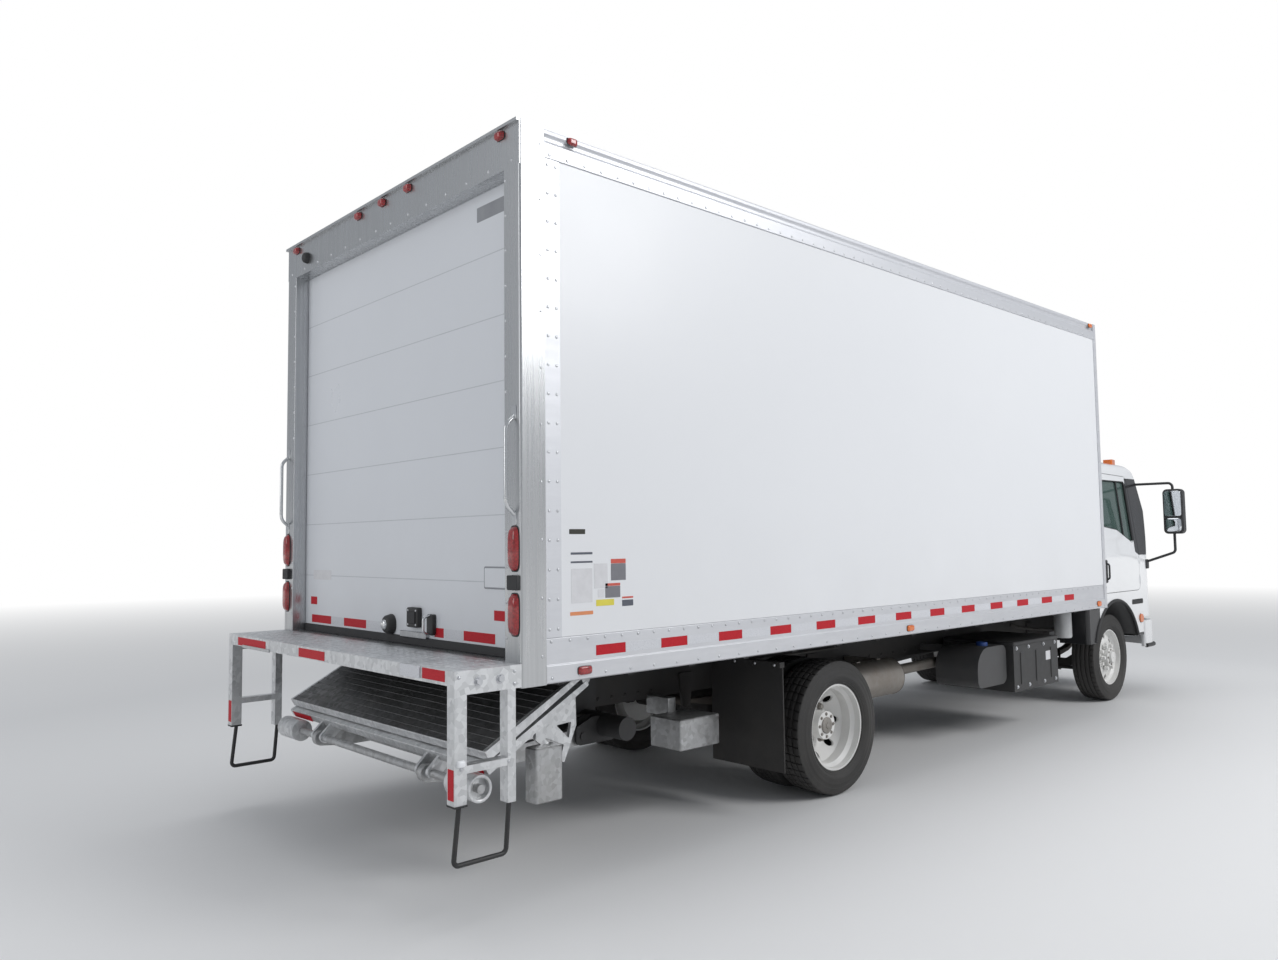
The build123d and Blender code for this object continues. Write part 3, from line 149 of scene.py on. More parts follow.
LAMPS = [  # name, place, aim, size across, watts
    ("key_panel", (3.5, -11.0, 8.5), (0.0, 0.0, 1.6), 6.0, 880),
    ("overhead_panel", (-1.0, 1.0, 11.0), (0.0, 0.0, 1.0), 8.0, 430),
    ("rear_panel", (-13.0, 3.0, 5.0), (-3.0, 0.0, 1.5), 6.0, 200),
]
for name, place, aim, size, watts in LAMPS:
    panel = bpy.data.lights.new(name, "AREA")
    panel.shape, panel.size, panel.energy = "SQUARE", size, watts
    lamp = bpy.data.objects.new(name, panel)
    bpy.context.scene.collection.objects.link(lamp)
    lamp.location = place
    lamp.rotation_euler = (Vector(aim) - Vector(place)).to_track_quat("-Z", "Y").to_euler()


# Body panels: smooth white laminate bonded to plywood on the sides and front, and a roof skin.
# Each is one flat sheet, slipped into the rails, with a long faint wave in the gloss.
def group_of(name, inputs, outputs):
    """An empty node group; how many numbers a socket's value has tells its kind."""
    effect = bpy.data.node_groups.new(name, "ShaderNodeTree")
    for way, sockets in (("INPUT", inputs), ("OUTPUT", outputs)):
        for label, value in sockets.items():
            kind = {3: "NodeSocketVector", 4: "NodeSocketColor"}.get(np.size(value), "NodeSocketFloat")
            effect.interface.new_socket(label, in_out=way, socket_type=kind).default_value = value
    return effect, effect.nodes.new("NodeGroupInput").outputs, effect.nodes.new("NodeGroupOutput").inputs


def mix_colours(tree, share, first, second):
    """The first colour where share is 0, the second where it is 1."""
    mix = add_node(tree, "ShaderNodeMix", data_type="RGBA")
    for place, value in ((0, share), (6, first), (7, second)):
        give(tree, value, mix.inputs[place])
    return mix.outputs[2]


# Road dust: thick near the ground, thinner above, in soft patches.
PALE = (0.8, 0.8, 0.8, 1)
road_dust, given, made = group_of("road_dust", {
    "Colour": PALE, "Dust": (0.42, 0.39, 0.35, 1), "Top": 1.4, "Amount": 0.35, "Patch Size": 3.0},
    {"Colour": PALE, "Mask": 0.0})
place = own_place(road_dust)
parts = add_node(road_dust, "ShaderNodeSeparateXYZ", Vector=place)
height = maths(road_dust, "DIVIDE", parts.outputs["Z"], given["Top"])
low = maths(road_dust, "SUBTRACT", 1.0, height, clamp=True)
cloud = add_node(road_dust, "ShaderNodeTexNoise", Vector=place, Scale=given["Patch Size"], Detail=6.0,
                 Roughness=0.65)
patches = add_node(road_dust, "ShaderNodeMapRange", Value=cloud.outputs["Fac"], From_Min=0.3, From_Max=0.7,
                   To_Min=0.25)
amount = maths(road_dust, "MULTIPLY", maths(road_dust, "MULTIPLY", low, patches.outputs["Result"]),
               given["Amount"], clamp=True)
give(road_dust, mix_colours(road_dust, amount, given["Colour"], given["Dust"]), made["Colour"])
give(road_dust, amount, made["Mask"])

# Mottle: two close colours and two close roughnesses that drift into each other.
mottle, given, made = group_of("mottle", {
    "First": PALE, "Second": (0.7, 0.7, 0.7, 1), "Scale": 4.0, "Stretch": (1, 1, 1), "Low Roughness": 0.3,
    "High Roughness": 0.5}, {"Colour": PALE, "Roughness": 0.0, "Height": 0.0})
drawn = add_node(mottle, "ShaderNodeVectorMath", operation="MULTIPLY")
give(mottle, own_place(mottle), drawn.inputs[0])
give(mottle, given["Stretch"], drawn.inputs[1])
cloud = add_node(mottle, "ShaderNodeTexNoise", Vector=drawn.outputs[0], Scale=given["Scale"], Detail=8.0,
                 Roughness=0.6)
spread = add_node(mottle, "ShaderNodeMapRange", Value=cloud.outputs["Fac"], From_Min=0.2, From_Max=0.8)
spread = spread.outputs["Result"]
rough = add_node(mottle, "ShaderNodeMapRange", Value=spread, To_Min=given["Low Roughness"],
                 To_Max=given["High Roughness"])
give(mottle, mix_colours(mottle, spread, given["First"], given["Second"]), made["Colour"])
give(mottle, rough.outputs["Result"], made["Roughness"])
give(mottle, cloud.outputs["Fac"], made["Height"])


def emboss(tree, shader, height, strength, depth, invert=False):
    """A relief pressed into a finish."""
    relief = add_node(tree, "ShaderNodeBump", invert=invert, Strength=strength, Distance=depth, Height=height)
    tree.links.new(relief.outputs["Normal"], shader.inputs["Normal"])


def dusted(tree, colour, dust):
    """A colour under road dust, and where the dust lies; dust is (colour, top, amount)."""
    return add_node(tree, "ShaderNodeGroup", node_tree=road_dust, Colour=colour, Dust=(*dust[0], 1),
                    Top=dust[1], Amount=dust[2]).outputs


DUST_ROUGHNESS = 0.85


def mottled(name, first, second, roughness, metallic=0.0, scale=4.0, stretch=(1, 1, 1), bump=0.0,
            bump_scale=0.001, dust=None, **levels):
    """A finish of two drifting colours: roughness is (low, high), dust is (colour, top, amount) or None."""
    finish, tree, shader = new_finish(name, first, roughness[0], metallic, **levels)
    drift = add_node(tree, "ShaderNodeGroup", node_tree=mottle, First=(*first, 1), Second=(*second, 1),
                     Scale=scale, Stretch=stretch, Low_Roughness=roughness[0],
                     High_Roughness=roughness[1]).outputs
    colour, sheen = drift["Colour"], drift["Roughness"]
    if dust:
        film = dusted(tree, colour, dust)
        dull = add_node(tree, "ShaderNodeMix")
        for place, value in ((0, film["Mask"]), (2, sheen), (3, DUST_ROUGHNESS)):
            give(tree, value, dull.inputs[place])
        colour, sheen = film["Colour"], dull.outputs[0]
    tree.links.new(sheen, shader.inputs["Roughness"])
    tree.links.new(colour, shader.inputs["Base Color"])
    if bump:
        emboss(tree, shader, drift["Height"], bump, bump_scale)
    return finish


def coat(finish, *names):
    """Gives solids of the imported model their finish."""
    for name in names:
        nodes[name].data.materials.clear()
        nodes[name].data.materials.append(finish)


ROAD_DUST = (0.40, 0.37, 0.33)
coat(mottled("panel_white", (0.78, 0.79, 0.81), (0.745, 0.757, 0.78), (0.26, 0.36), scale=0.7, bump=0.25,
             bump_scale=0.012, dust=(ROAD_DUST, 1.7, 0.22)), "side_walls", "front_wall")
coat(mottled("roof_skin", (0.70, 0.71, 0.72), (0.63, 0.64, 0.65), (0.35, 0.55), scale=1.2, bump=0.3,
             bump_scale=0.01), "body_roof")

# Body rails: aluminium extrusions round the panels, mill finish gone dull, held by buck rivets
# in a row along each lip. The lower side rails carry the reflective tape.
BODY_REAR_X, BODY_FRONT_X = -3.810, 2.280
SIDES = ((1, "left"), (-1, "right"))
FORWARD, UPWARD = (1, 0, 0), (0, 0, 1)
coat(mottled("rail_metal", (0.70, 0.71, 0.74), (0.60, 0.61, 0.64), (0.34, 0.50), metallic=0.55, scale=3.0,
             stretch=(1, 1, 6), bump=0.08, bump_scale=0.004, dust=(ROAD_DUST, 1.5, 0.35)), "body_rails")


def unit(rows):
    """Each row of an array made one long."""
    return rows / np.linalg.norm(rows, axis=-1, keepdims=True)


def full_turn(count):
    """Angles evenly round a circle."""
    return np.linspace(0, 2 * np.pi, count, endpoint=False)


def grid_faces(rows, columns, round_first=False, round_second=False):
    """Four-sided faces of a grid of rows by columns points, joined up round either way."""
    i, j = np.meshgrid(np.arange(rows - (not round_first)), np.arange(columns - (not round_second)),
                       indexing="ij")
    after_i, after_j = (i + 1) % rows, (j + 1) % columns
    quads = np.stack([i * columns + j, i * columns + after_j, after_i * columns + after_j,
                      after_i * columns + j], -1)
    return [tuple(quad) for quad in quads.reshape(-1, 4).tolist()]


def ring_faces(rings, sides, closed_start=True):
    """Faces of a stack of rings, with a lid on the last one and, if it is closed, on the first."""
    faces = grid_faces(rings, sides, round_second=True)
    if closed_start:
        faces.append(tuple(range(sides))[::-1])
    return faces + [tuple(range((rings - 1) * sides, rings * sides))]


def dome(radius, height, sides=8, rings=3):
    """A round head: radius falls with the cosine, and height grows with the sine, of 0 to 90 degrees."""
    rise, turn = np.linspace(0, np.pi / 2, rings, endpoint=False), full_turn(sides)
    points = np.stack([radius * np.outer(np.cos(rise), np.cos(turn)),
                       radius * np.outer(np.cos(rise), np.sin(turn)),
                       height * np.outer(np.sin(rise), np.ones(sides))], -1).reshape(-1, 3)
    return points, ring_faces(rings, sides, closed_start=False)


def copies(name, shape, places, facing, finish, upward=UPWARD, smooth=True):
    """One mesh of many copies of a shape: its third axis is turned to facing, and its second near upward."""
    points, faces = shape
    places = np.atleast_2d(np.asarray(places, float))
    count = len(places)
    third = unit(np.broadcast_to(np.asarray(facing, float), (count, 3)))
    first = unit(np.cross(np.broadcast_to(np.asarray(upward, float), (count, 3)), third))
    second = np.cross(third, first)
    world = places[:, None] + np.einsum("pc,kcw->kpw", points, np.stack([first, second, third], 1))
    many = [tuple(corner + k * len(points) for corner in face) for k in range(count) for face in faces]
    return mesh_piece(name, world, many, finish, smooth)


def row_of(start, end, pitch):
    """Points a pitch or so apart, from start to end."""
    start, end = np.asarray(start, float), np.asarray(end, float)
    count = max(2, int(round(np.linalg.norm(end - start) / pitch)) + 1)
    return start + np.linspace(0, 1, count)[:, None] * (end - start)


LIP_ROWS = [(1.078, 1.2155, 0.100), (0.925, 1.2200, 0.150), (3.206, 1.2200, 0.100)]  # Z, Y, pitch
POST_ROWS = [  # X, Y
    (BODY_REAR_X + 0.150, 1.217), (BODY_REAR_X + 0.196, 1.217), (BODY_FRONT_X - 0.068, 1.220)]
POST_LOW, POST_HIGH, POST_PITCH = 1.13, 3.16, 0.125
side_places = np.concatenate(
    [row_of((BODY_REAR_X + 0.16, y, z), (BODY_FRONT_X - 0.10, y, z), pitch) for z, y, pitch in LIP_ROWS]
    + [row_of((x, y, POST_LOW), (x, y, POST_HIGH), POST_PITCH) for x, y in POST_ROWS])
front_places = np.concatenate(
    [row_of((BODY_FRONT_X, -1.10, z), (BODY_FRONT_X, 1.10, z), 0.11) for z in (1.02, 3.206)]
    + [row_of((BODY_FRONT_X, y, POST_LOW), (BODY_FRONT_X, y, POST_HIGH), POST_PITCH)
       for y in (-1.158, 1.158)])
rivet_metal = mottled("rivet_metal", (0.66, 0.67, 0.69), (0.50, 0.51, 0.53), (0.28, 0.45), metallic=0.9,
                      scale=30.0)
rivet_head = dome(0.0075, 0.0035)
rivets = [copies("side_rivets_" + label, rivet_head, side_places * (1, side, 1), (0, side, 0), rivet_metal)
          for side, label in SIDES]
rivets.append(copies("front_rivets", rivet_head, front_places - (0.004, 0, 0), FORWARD, rivet_metal))
for piece in rivets:
    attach(piece, "root")


# Reflective tape: strips of red and silver vinyl with pressed prisms, stuck along the lower
# rails, the door's foot and the deck's edge. Its corners are cut square.
def celled(name, deep, bright, roughness, scale, strength, depth, feature="F1", invert=False, **levels):
    """Fine cells, pressed or woven: bright where their distance is nought, and deep away from there."""
    finish, tree, shader = new_finish(name, deep, roughness, **levels)
    cells = add_node(tree, "ShaderNodeTexVoronoi", feature=feature, Vector=own_place(tree), Scale=scale)
    tree.links.new(mix_colours(tree, cells.outputs["Distance"], (*bright, 1), (*deep, 1)),
                   shader.inputs["Base Color"])
    emboss(tree, shader, cells.outputs["Distance"], strength, depth, invert)
    return finish


def corner_turns(steps):
    """Angles round a rounded oblong, and the signs of the corner that each belongs to."""
    turn = (np.arange(4)[:, None] * np.pi / 2 + np.linspace(0, np.pi / 2, steps + 1)).ravel()
    return turn, np.array([(1, 1), (-1, 1), (-1, -1), (1, -1)], float).repeat(steps + 1, 0)


def oblong(half, radius, corner, turn, inset=0.0):
    """A ring of an oblong with quarter-circle corners, drawn in by an inset."""
    arc = np.column_stack([np.cos(turn), np.sin(turn)])
    return corner * (np.asarray(half) - radius) + (radius - inset) * arc


def at_height(ring, z):
    """A flat ring set at a height."""
    return np.column_stack([ring, np.full(len(ring), z)])


def rounded_plate(half_width, half_height, radius, thickness):
    """A plate on the XY plane, thickness high, its corners quarter circles and its top edge eased."""
    turn, corner = corner_turns(3)
    ease = min(thickness, radius) * 0.4
    rings = [at_height(oblong((half_width, half_height), radius, corner, turn, inset), z)
             for inset, z in ((0.0, 0.0), (0.0, thickness - ease), (ease, thickness))]
    return np.concatenate(rings), ring_faces(3, len(turn), closed_start=False)


tape_red = celled("tape_red", (0.40, 0.006, 0.014), (0.56, 0.014, 0.026), 0.50, 210.0, 0.15, 0.0006,
                  Specular_IOR_Level=0.25)
tape_silver = celled("tape_silver", (0.54, 0.55, 0.58), (0.70, 0.71, 0.74), 0.50, 210.0, 0.15, 0.0006,
                     Specular_IOR_Level=0.25)
TAPE_PITCH, TAPE_RED_L, TAPE_H, TAPE_T = 0.402, 0.175, 0.045, 0.0008
TAPE_Y, TAPE_Z, TAPE_COUNT = 1.2152, 1.022, 13
red_x = BODY_REAR_X + 0.495 + TAPE_PITCH * np.arange(TAPE_COUNT)
red_strip = rounded_plate(TAPE_RED_L / 2, TAPE_H / 2, 0.001, TAPE_T)
silver_strip = rounded_plate((TAPE_PITCH - TAPE_RED_L - 0.002) / 2, TAPE_H / 2, 0.001, TAPE_T)
for side, label in SIDES:
    reds = np.column_stack([red_x, np.full(TAPE_COUNT, side * TAPE_Y), np.full(TAPE_COUNT, TAPE_Z)])
    silvers = reds[:-1] + (TAPE_PITCH / 2, 0, 0)
    for piece in (
            copies("tape_red_" + label, red_strip, reds, (0, side, 0), tape_red, smooth=False),
            copies("tape_silver_" + label, silver_strip, silvers, (0, side, 0), tape_silver, smooth=False)):
        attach(piece, "root")

# Load labels: small blank blocks of printed vinyl, stuck low on the rear of the right wall, in
# the colours and places of the real set.
LABELS = [  # colour name, X from the body's rear, Z, half width, half height
    ("ink_black", 0.306, 1.548, 0.045, 0.011), ("ink_dark", 0.330, 1.452, 0.062, 0.005),
    ("ink_dark", 0.330, 1.414, 0.062, 0.004), ("ink_red", 0.545, 1.414, 0.045, 0.010),
    ("ink_grey", 0.545, 1.365, 0.045, 0.038), ("ink_grey", 0.510, 1.276, 0.045, 0.026),
    ("ink_red", 0.510, 1.309, 0.045, 0.006), ("ink_yellow", 0.464, 1.230, 0.053, 0.014),
    ("ink_orange", 0.328, 1.190, 0.065, 0.008), ("ink_dark", 0.600, 1.222, 0.034, 0.014),
    ("ink_red", 0.600, 1.247, 0.034, 0.004), ("ink_pale", 0.330, 1.310, 0.060, 0.075),
    ("ink_pale", 0.440, 1.350, 0.040, 0.055), ("ink_pale", 0.440, 1.272, 0.018, 0.018),
]
INKS = {
    "ink_black": (0.03, 0.03, 0.02), "ink_dark": (0.10, 0.11, 0.14), "ink_red": (0.62, 0.10, 0.07),
    "ink_grey": (0.20, 0.20, 0.22), "ink_yellow": (0.75, 0.66, 0.08), "ink_orange": (0.75, 0.28, 0.12),
    "ink_pale": (0.70, 0.70, 0.72),
}
vinyls = {ink: mottled(ink, colour, tuple(0.85 * part for part in colour), (0.35, 0.5), scale=25.0)
          for ink, colour in INKS.items()}
for k, (ink, x, z, half_width, half_height) in enumerate(LABELS):
    label = copies(f"label_{ink}_{k}", rounded_plate(half_width, half_height, 0.002, 0.0006),
                   (BODY_REAR_X + x, -1.2142, z), (0, -1, 0), vinyls[ink], smooth=False)
    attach(label, "root")


# Lamps on the body: moulded red or amber lenses with a ribbed inside, each on a dark gasket
# held by two screws, or on a small white bracket at the roof.
def lens_dome(half_width, half_height, depth, power=4.0, sides=40, rings=9):
    """A lens: superellipse rings, as high as depth times the root of 1 less their share to the fourth."""
    share = np.linspace(1, 0, rings)[:, None]
    c, s = np.cos(full_turn(sides)), np.sin(full_turn(sides))
    points = np.stack([half_width * share * np.sign(c) * np.abs(c) ** (2 / power),
                       half_height * share * np.sign(s) * np.abs(s) ** (2 / power),
                       depth * np.sqrt(np.clip(1 - share ** 4, 0, 1)) * np.ones(sides)], -1)[:-1]
    last = (rings - 2) * sides
    tip = [(last + k, last + (k + 1) % sides, (rings - 1) * sides) for k in range(sides)]
    faces = grid_faces(rings - 1, sides, round_second=True) + tip
    return np.concatenate([points.reshape(-1, 3), [[0, 0, depth]]]), faces


lens_colours = {
    name: celled(name + "_lens", deep, bright, 0.12, 95.0, 0.35, 0.001, Coat_Weight=0.8, Coat_Roughness=0.04)
    for name, deep, bright in (("red", (0.17, 0.004, 0.006), (0.44, 0.016, 0.018)),
                               ("amber", (0.55, 0.09, 0.008), (0.80, 0.20, 0.02)))}
gasket_rubber = mottled("gasket_rubber", (0.022, 0.022, 0.024), (0.035, 0.035, 0.036), (0.55, 0.75),
                        scale=40.0)
REARWARD = (-1, 0, 0)
MIRRORED = np.array([(1, 1, 1), (1, -1, 1)])
BODY_LAMPS = [  # name, lens, place, facing, half width, half height, depth
    ("stop_low", "red", (BODY_REAR_X, 1.175, 1.201), REARWARD, 0.036, 0.092, 0.024),
    ("stop_high", "red", (BODY_REAR_X, 1.175, 1.477), REARWARD, 0.036, 0.098, 0.024),
    ("header_outer", "red", (BODY_REAR_X, 1.080, 3.290), REARWARD, 0.032, 0.020, 0.026),
    ("header_inner", "red", (BODY_REAR_X, 0.270, 3.290), REARWARD, 0.032, 0.020, 0.026),
    ("side_rear", "red", (BODY_REAR_X + 0.338, 1.220, 0.942), (0, 1, 0), 0.042, 0.020, 0.014),
    ("top_rear", "red", (BODY_REAR_X + 0.289, 1.218, 3.300), (0, 1, 0), 0.030, 0.018, 0.016),
    ("side_middle", "amber", (-0.839, 1.220, 0.942), (0, 1, 0), 0.042, 0.020, 0.014),
    ("side_front", "amber", (BODY_FRONT_X - 0.210, 1.220, 0.942), (0, 1, 0), 0.042, 0.024, 0.014),
    ("top_front", "amber", (BODY_FRONT_X - 0.150, 1.218, 3.300), (0, 1, 0), 0.034, 0.018, 0.016),
]
LENS_OUT, LENS_SHARE = 0.004, (0.92, 0.94)  # out of the gasket; share of its width and height
lamp_pieces = []
for name, lens_name, place, facing, half_width, half_height, depth in BODY_LAMPS:
    both, outward = np.array(place) * MIRRORED, np.array(facing) * MIRRORED
    lamp_pieces += [
        copies("lamp_" + name,
               lens_dome(half_width * LENS_SHARE[0], half_height * LENS_SHARE[1], depth - LENS_OUT),
               both + outward * LENS_OUT, outward, lens_colours[lens_name]),
        copies("lamp_gasket_" + name, lens_dome(half_width, half_height, 0.007, power=4.5, rings=4), both,
               outward, gasket_rubber)]
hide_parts("body_lamps")
lamp_pieces += [
    copies("lamp_header_middle", lens_dome(0.030, 0.019, 0.022), (BODY_REAR_X - 0.004, 0, 3.290), REARWARD,
           lens_colours["red"]),
    copies("lamp_licence_boxes", rounded_plate(0.037, 0.031, 0.006, 0.018),
           (BODY_REAR_X, 1.175, 1.3345) * MIRRORED, REARWARD, gasket_rubber)]
for piece in lamp_pieces:
    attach(piece, "root")

# Rear frame: folded stainless posts, header and sill, brushed lengthways and held by round-head
# bolts. A small round camera hangs from the header's left end.
stainless = mottled("stainless", (0.58, 0.59, 0.60), (0.44, 0.45, 0.46), (0.20, 0.36), metallic=0.95,
                    scale=2.2, stretch=(22, 22, 0.5), bump=0.05, bump_scale=0.001,
                    dust=(ROAD_DUST, 1.3, 0.25))
coat(stainless, "rear_frame")
HALF_BODY = 1.220
BOLT_ROWS = [((1.112, 2.15), (1.112, 3.08), 0.16), ((1.112, 1.10), (1.112, 1.55), 0.15),
             ((0.08, 3.160), (1.16, 3.160), 0.18)]  # Y and Z of the start, of the end, pitch
frame_bolts = np.concatenate([row_of((BODY_REAR_X, *start), (BODY_REAR_X, *end), pitch)
                              for start, end, pitch in BOLT_ROWS])
frame_bolts = np.concatenate([frame_bolts, frame_bolts * (1, -1, 1)])
post_x = BODY_REAR_X + 0.108
post_rivets = row_of((post_x, HALF_BODY, 1.02), (post_x, HALF_BODY, 3.24), 0.24)
post_rivets = np.concatenate([post_rivets, post_rivets * (1, -1, 1)])
for piece in (copies("frame_bolts", dome(0.008, 0.004), frame_bolts, REARWARD, rivet_metal),
              copies("post_rivets", dome(0.007, 0.003), post_rivets, np.sign(post_rivets * (0, 1, 0)),
                     rivet_metal),
              copies("rear_camera", lens_dome(0.034, 0.034, 0.030, power=2.0, sides=24),
                     (BODY_REAR_X, 0.94, 3.215), REARWARD, gasket_rubber)):
    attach(piece, "root")


# Grab rods: bright round bars, bent to a bow, one on each rear post. Their ends are flattened
# and bolted on.
def tube(name, path, radius, finish, across=(0, 1, 0), sides=14):
    """A round tube along a path of points: rings square to the run, turned by the across direction."""
    path = np.asarray(path, float)
    run = unit(np.gradient(path, axis=0))
    first = unit(np.cross(run, np.broadcast_to(np.asarray(across, float), run.shape)))
    second, turn = np.cross(run, first), full_turn(sides)[None, :, None]
    rings = path[:, None] + radius * (np.cos(turn) * first[:, None] + np.sin(turn) * second[:, None])
    return mesh_piece(name, rings, [face[::-1] for face in ring_faces(len(path), sides)], finish)


def bent(points, radius):
    """A path through points with each inner corner a parabola that starts a radius before it."""
    points = np.asarray(points, float)
    before = points[1:-1] + unit(points[:-2] - points[1:-1]) * radius
    after = points[1:-1] + unit(points[2:] - points[1:-1]) * radius
    t = np.linspace(0, 1, 8)[None, :, None]
    arcs = (1 - t) ** 2 * before[:, None] + 2 * t * (1 - t) * points[1:-1, None] + t ** 2 * after[:, None]
    return np.concatenate([points[:1], arcs.reshape(-1, 3), points[-1:]])


bright_steel = mottled("bright_steel", (0.72, 0.73, 0.74), (0.60, 0.61, 0.62), (0.12, 0.24), metallic=1.0,
                       scale=20.0)
ROD_IN, ROD_OUT, ROD_Y = BODY_REAR_X + 0.002, BODY_REAR_X - 0.044, 1.175
ROD = [(ROD_IN, 1.620), (ROD_OUT, 1.660), (ROD_OUT, 2.000), (ROD_IN, 2.040)]  # X, Z
for side, label in SIDES:
    bow = bent([(x, side * ROD_Y, z) for x, z in ROD], 0.028)
    rod = tube("grab_rod_" + label, bow, 0.0095, bright_steel)
    feet = copies("grab_rod_feet_" + label, rounded_plate(0.017, 0.030, 0.012, 0.005),
                  [(BODY_REAR_X, side * ROD_Y, z) for z in (1.604, 2.056)], REARWARD, bright_steel)
    for piece in (rod, feet):
        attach(piece, "root")
    if side == 1:
        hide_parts("grab_rods")

# Roll-up door: white panels hinged on each other inside, smooth outside, with a black rubber
# foot. The latch, a pull strap, a keeper and a step tray are bolted near its foot.
DOOR_X, FLOOR_TOP = BODY_REAR_X + 0.081, 1.000
door_white = mottled("door_white", (0.70, 0.72, 0.755), (0.655, 0.675, 0.71), (0.24, 0.38), scale=0.8,
                     bump=0.3, bump_scale=0.01, dust=(ROAD_DUST, 1.9, 0.20))
coat(door_white, "roll_door")
seam_grey = mottled("door_seams", (0.54, 0.56, 0.59), (0.48, 0.50, 0.53), (0.4, 0.6), scale=10.0)
pouch_grey = mottled("pouch_grey", (0.30, 0.31, 0.33), (0.24, 0.25, 0.27), (0.5, 0.7), scale=10.0)
black_iron = mottled("black_iron", (0.026, 0.026, 0.028), (0.045, 0.044, 0.043), (0.38, 0.62), metallic=0.2,
                     scale=22.0, bump=0.15, bump_scale=0.001)
SEAM_Z = FLOOR_TOP + 0.028 + 0.3 * np.arange(1, 8)
KEEPER_T = 0.026
DOOR_TAPE_Z = 1.075
DOOR_TAPES = [(0.880, 0.257), (0.454, 0.265), (-0.432, 0.084), (-0.779, 0.258)]  # Y, length
SILVER_Y = (0.668, 0.235, -0.562)
VINYL_T = 0.001  # up to this a plate is vinyl or a seam, with flat faces
DOOR_PLATES = [  # name, half width, half height, corner, thickness, out of the door, places (Y, Z), finish
    ("door_seams", 1.098, 0.0022, 0.001, 0.0006, 0, [(0, z) for z in SEAM_Z], seam_grey),
    ("door_foot_seal", 1.095, 0.020, 0.006, 0.012, -0.004, [(0, FLOOR_TOP + 0.022)], gasket_rubber),
    ("door_tape_squares", 0.042, TAPE_H / 2, 0.001, TAPE_T, 0, [(0.982, 1.180), (-0.942, 1.180)], tape_red),
    ("door_tape_silver", 0.080, TAPE_H / 2, 0.001, TAPE_T, 0, [(y, DOOR_TAPE_Z) for y in SILVER_Y],
     tape_silver),
    ("door_pouch", 0.092, 0.050, 0.008, 0.004, 0, [(-0.916, 1.347)], pouch_grey),
    ("door_pouch_card", 0.086, 0.044, 0.006, 0.005, 0, [(-0.916, 1.347)], door_white),
    ("door_label", 0.119, 0.0275, 0.003, TAPE_T, 0, [(0.873, 1.3315)], vinyls["ink_pale"]),
    ("door_top_label", 0.160, 0.035, 0.004, TAPE_T, 0, [(-0.925, 3.035)], pouch_grey),
    ("latch_keeper", 0.054, 0.049, 0.010, KEEPER_T, 0, [(-0.214, 1.139)], black_iron),
    ("latch_keeper_face", 0.036, 0.030, 0.006, 0.006, KEEPER_T, [(-0.214, 1.139)], gasket_rubber),
    ("latch_pull", 0.028, 0.050, 0.010, 0.022, 0, [(-0.376, 1.111)], black_iron),
    ("latch_tray", 0.128, 0.015, 0.006, 0.020, 0, [(-0.210, 1.054)], stainless),
]
DOOR_PLATES += [(f"door_tape_{k}", length / 2, TAPE_H / 2, 0.001, TAPE_T, 0, [(y, DOOR_TAPE_Z)], tape_red)
                for k, (y, length) in enumerate(DOOR_TAPES)]
door_pieces = [
    copies(name, rounded_plate(half_width, half_height, corner, thickness),
           [(DOOR_X - out, y, z) for y, z in places], REARWARD, finish, smooth=thickness > VINYL_T)
    for name, half_width, half_height, corner, thickness, out, places, finish in DOOR_PLATES]
lock_drum = copies("lock_drum", lens_dome(0.052, 0.052, 0.044, power=2.3, sides=36), (DOOR_X, 0.040, 1.092),
                   REARWARD, black_iron)
LOOP = [(0.002, 1.156), (0.055, 1.150), (0.055, 1.072), (0.002, 1.066)]  # out of the door, Z
door_pieces += [
    lock_drum,
    copies("lock_cap", lens_dome(0.026, 0.026, 0.012, power=2.0, sides=24), (DOOR_X - 0.042, 0.040, 1.092),
           REARWARD, bright_steel),
    tube("latch_pull_loop", bent([(DOOR_X - out, -0.376, z) for out, z in LOOP], 0.020), 0.006, bright_steel),
    copies("latch_screws", dome(0.006, 0.003, sides=6),
           [(DOOR_X - KEEPER_T, y, z) for y in (-0.252, -0.176) for z in (1.104, 1.174)], REARWARD,
           rivet_metal)]
for piece in door_pieces:
    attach(piece, "root")
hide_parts("door_latch")

# Floor of the load space: laminated oak boards, laid along the truck and screwed to the steel
# cross-members. Their face stands a hair above the solid floor's.
oak = mottled("oak_floor", (0.36, 0.24, 0.14), (0.26, 0.17, 0.10), (0.45, 0.7), scale=3.0,
              stretch=(0.4, 12, 6), bump=0.2, bump_scale=0.003)
oak_boards = copies("floor_boards", rounded_plate(1.165, 2.940, 0.002, 0.004),
                    (-0.730, 0, FLOOR_TOP - 0.0038), UPWARD, oak, upward=FORWARD, smooth=False)
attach(oak_boards, "root")


# Liftgate deck: hot-dip galvanised plate on box legs. The zinc shows its spangle, and the bolts
# at each end hold the deck to the body's sill. Pressed studs give the tread its grip.
def galvanised(name, bright, dark, dust_share):
    """Zinc: flat crystals, each with its own grey and gloss, under road dust."""
    finish, tree, shader = new_finish(name, bright, 0.42, 0.75)
    crystals = add_node(tree, "ShaderNodeTexVoronoi", Vector=own_place(tree), Scale=42.0)
    tone = add_node(tree, "ShaderNodeSeparateColor", Color=crystals.outputs["Color"]).outputs
    gloss = add_node(tree, "ShaderNodeMapRange", Value=tone["Green"], To_Min=0.30, To_Max=0.58)
    film = dusted(tree, mix_colours(tree, tone["Red"], (*bright, 1), (*dark, 1)),
                  (ROAD_DUST, 1.25, dust_share))
    tree.links.new(film["Colour"], shader.inputs["Base Color"])
    tree.links.new(gloss.outputs["Result"], shader.inputs["Roughness"])
    return finish


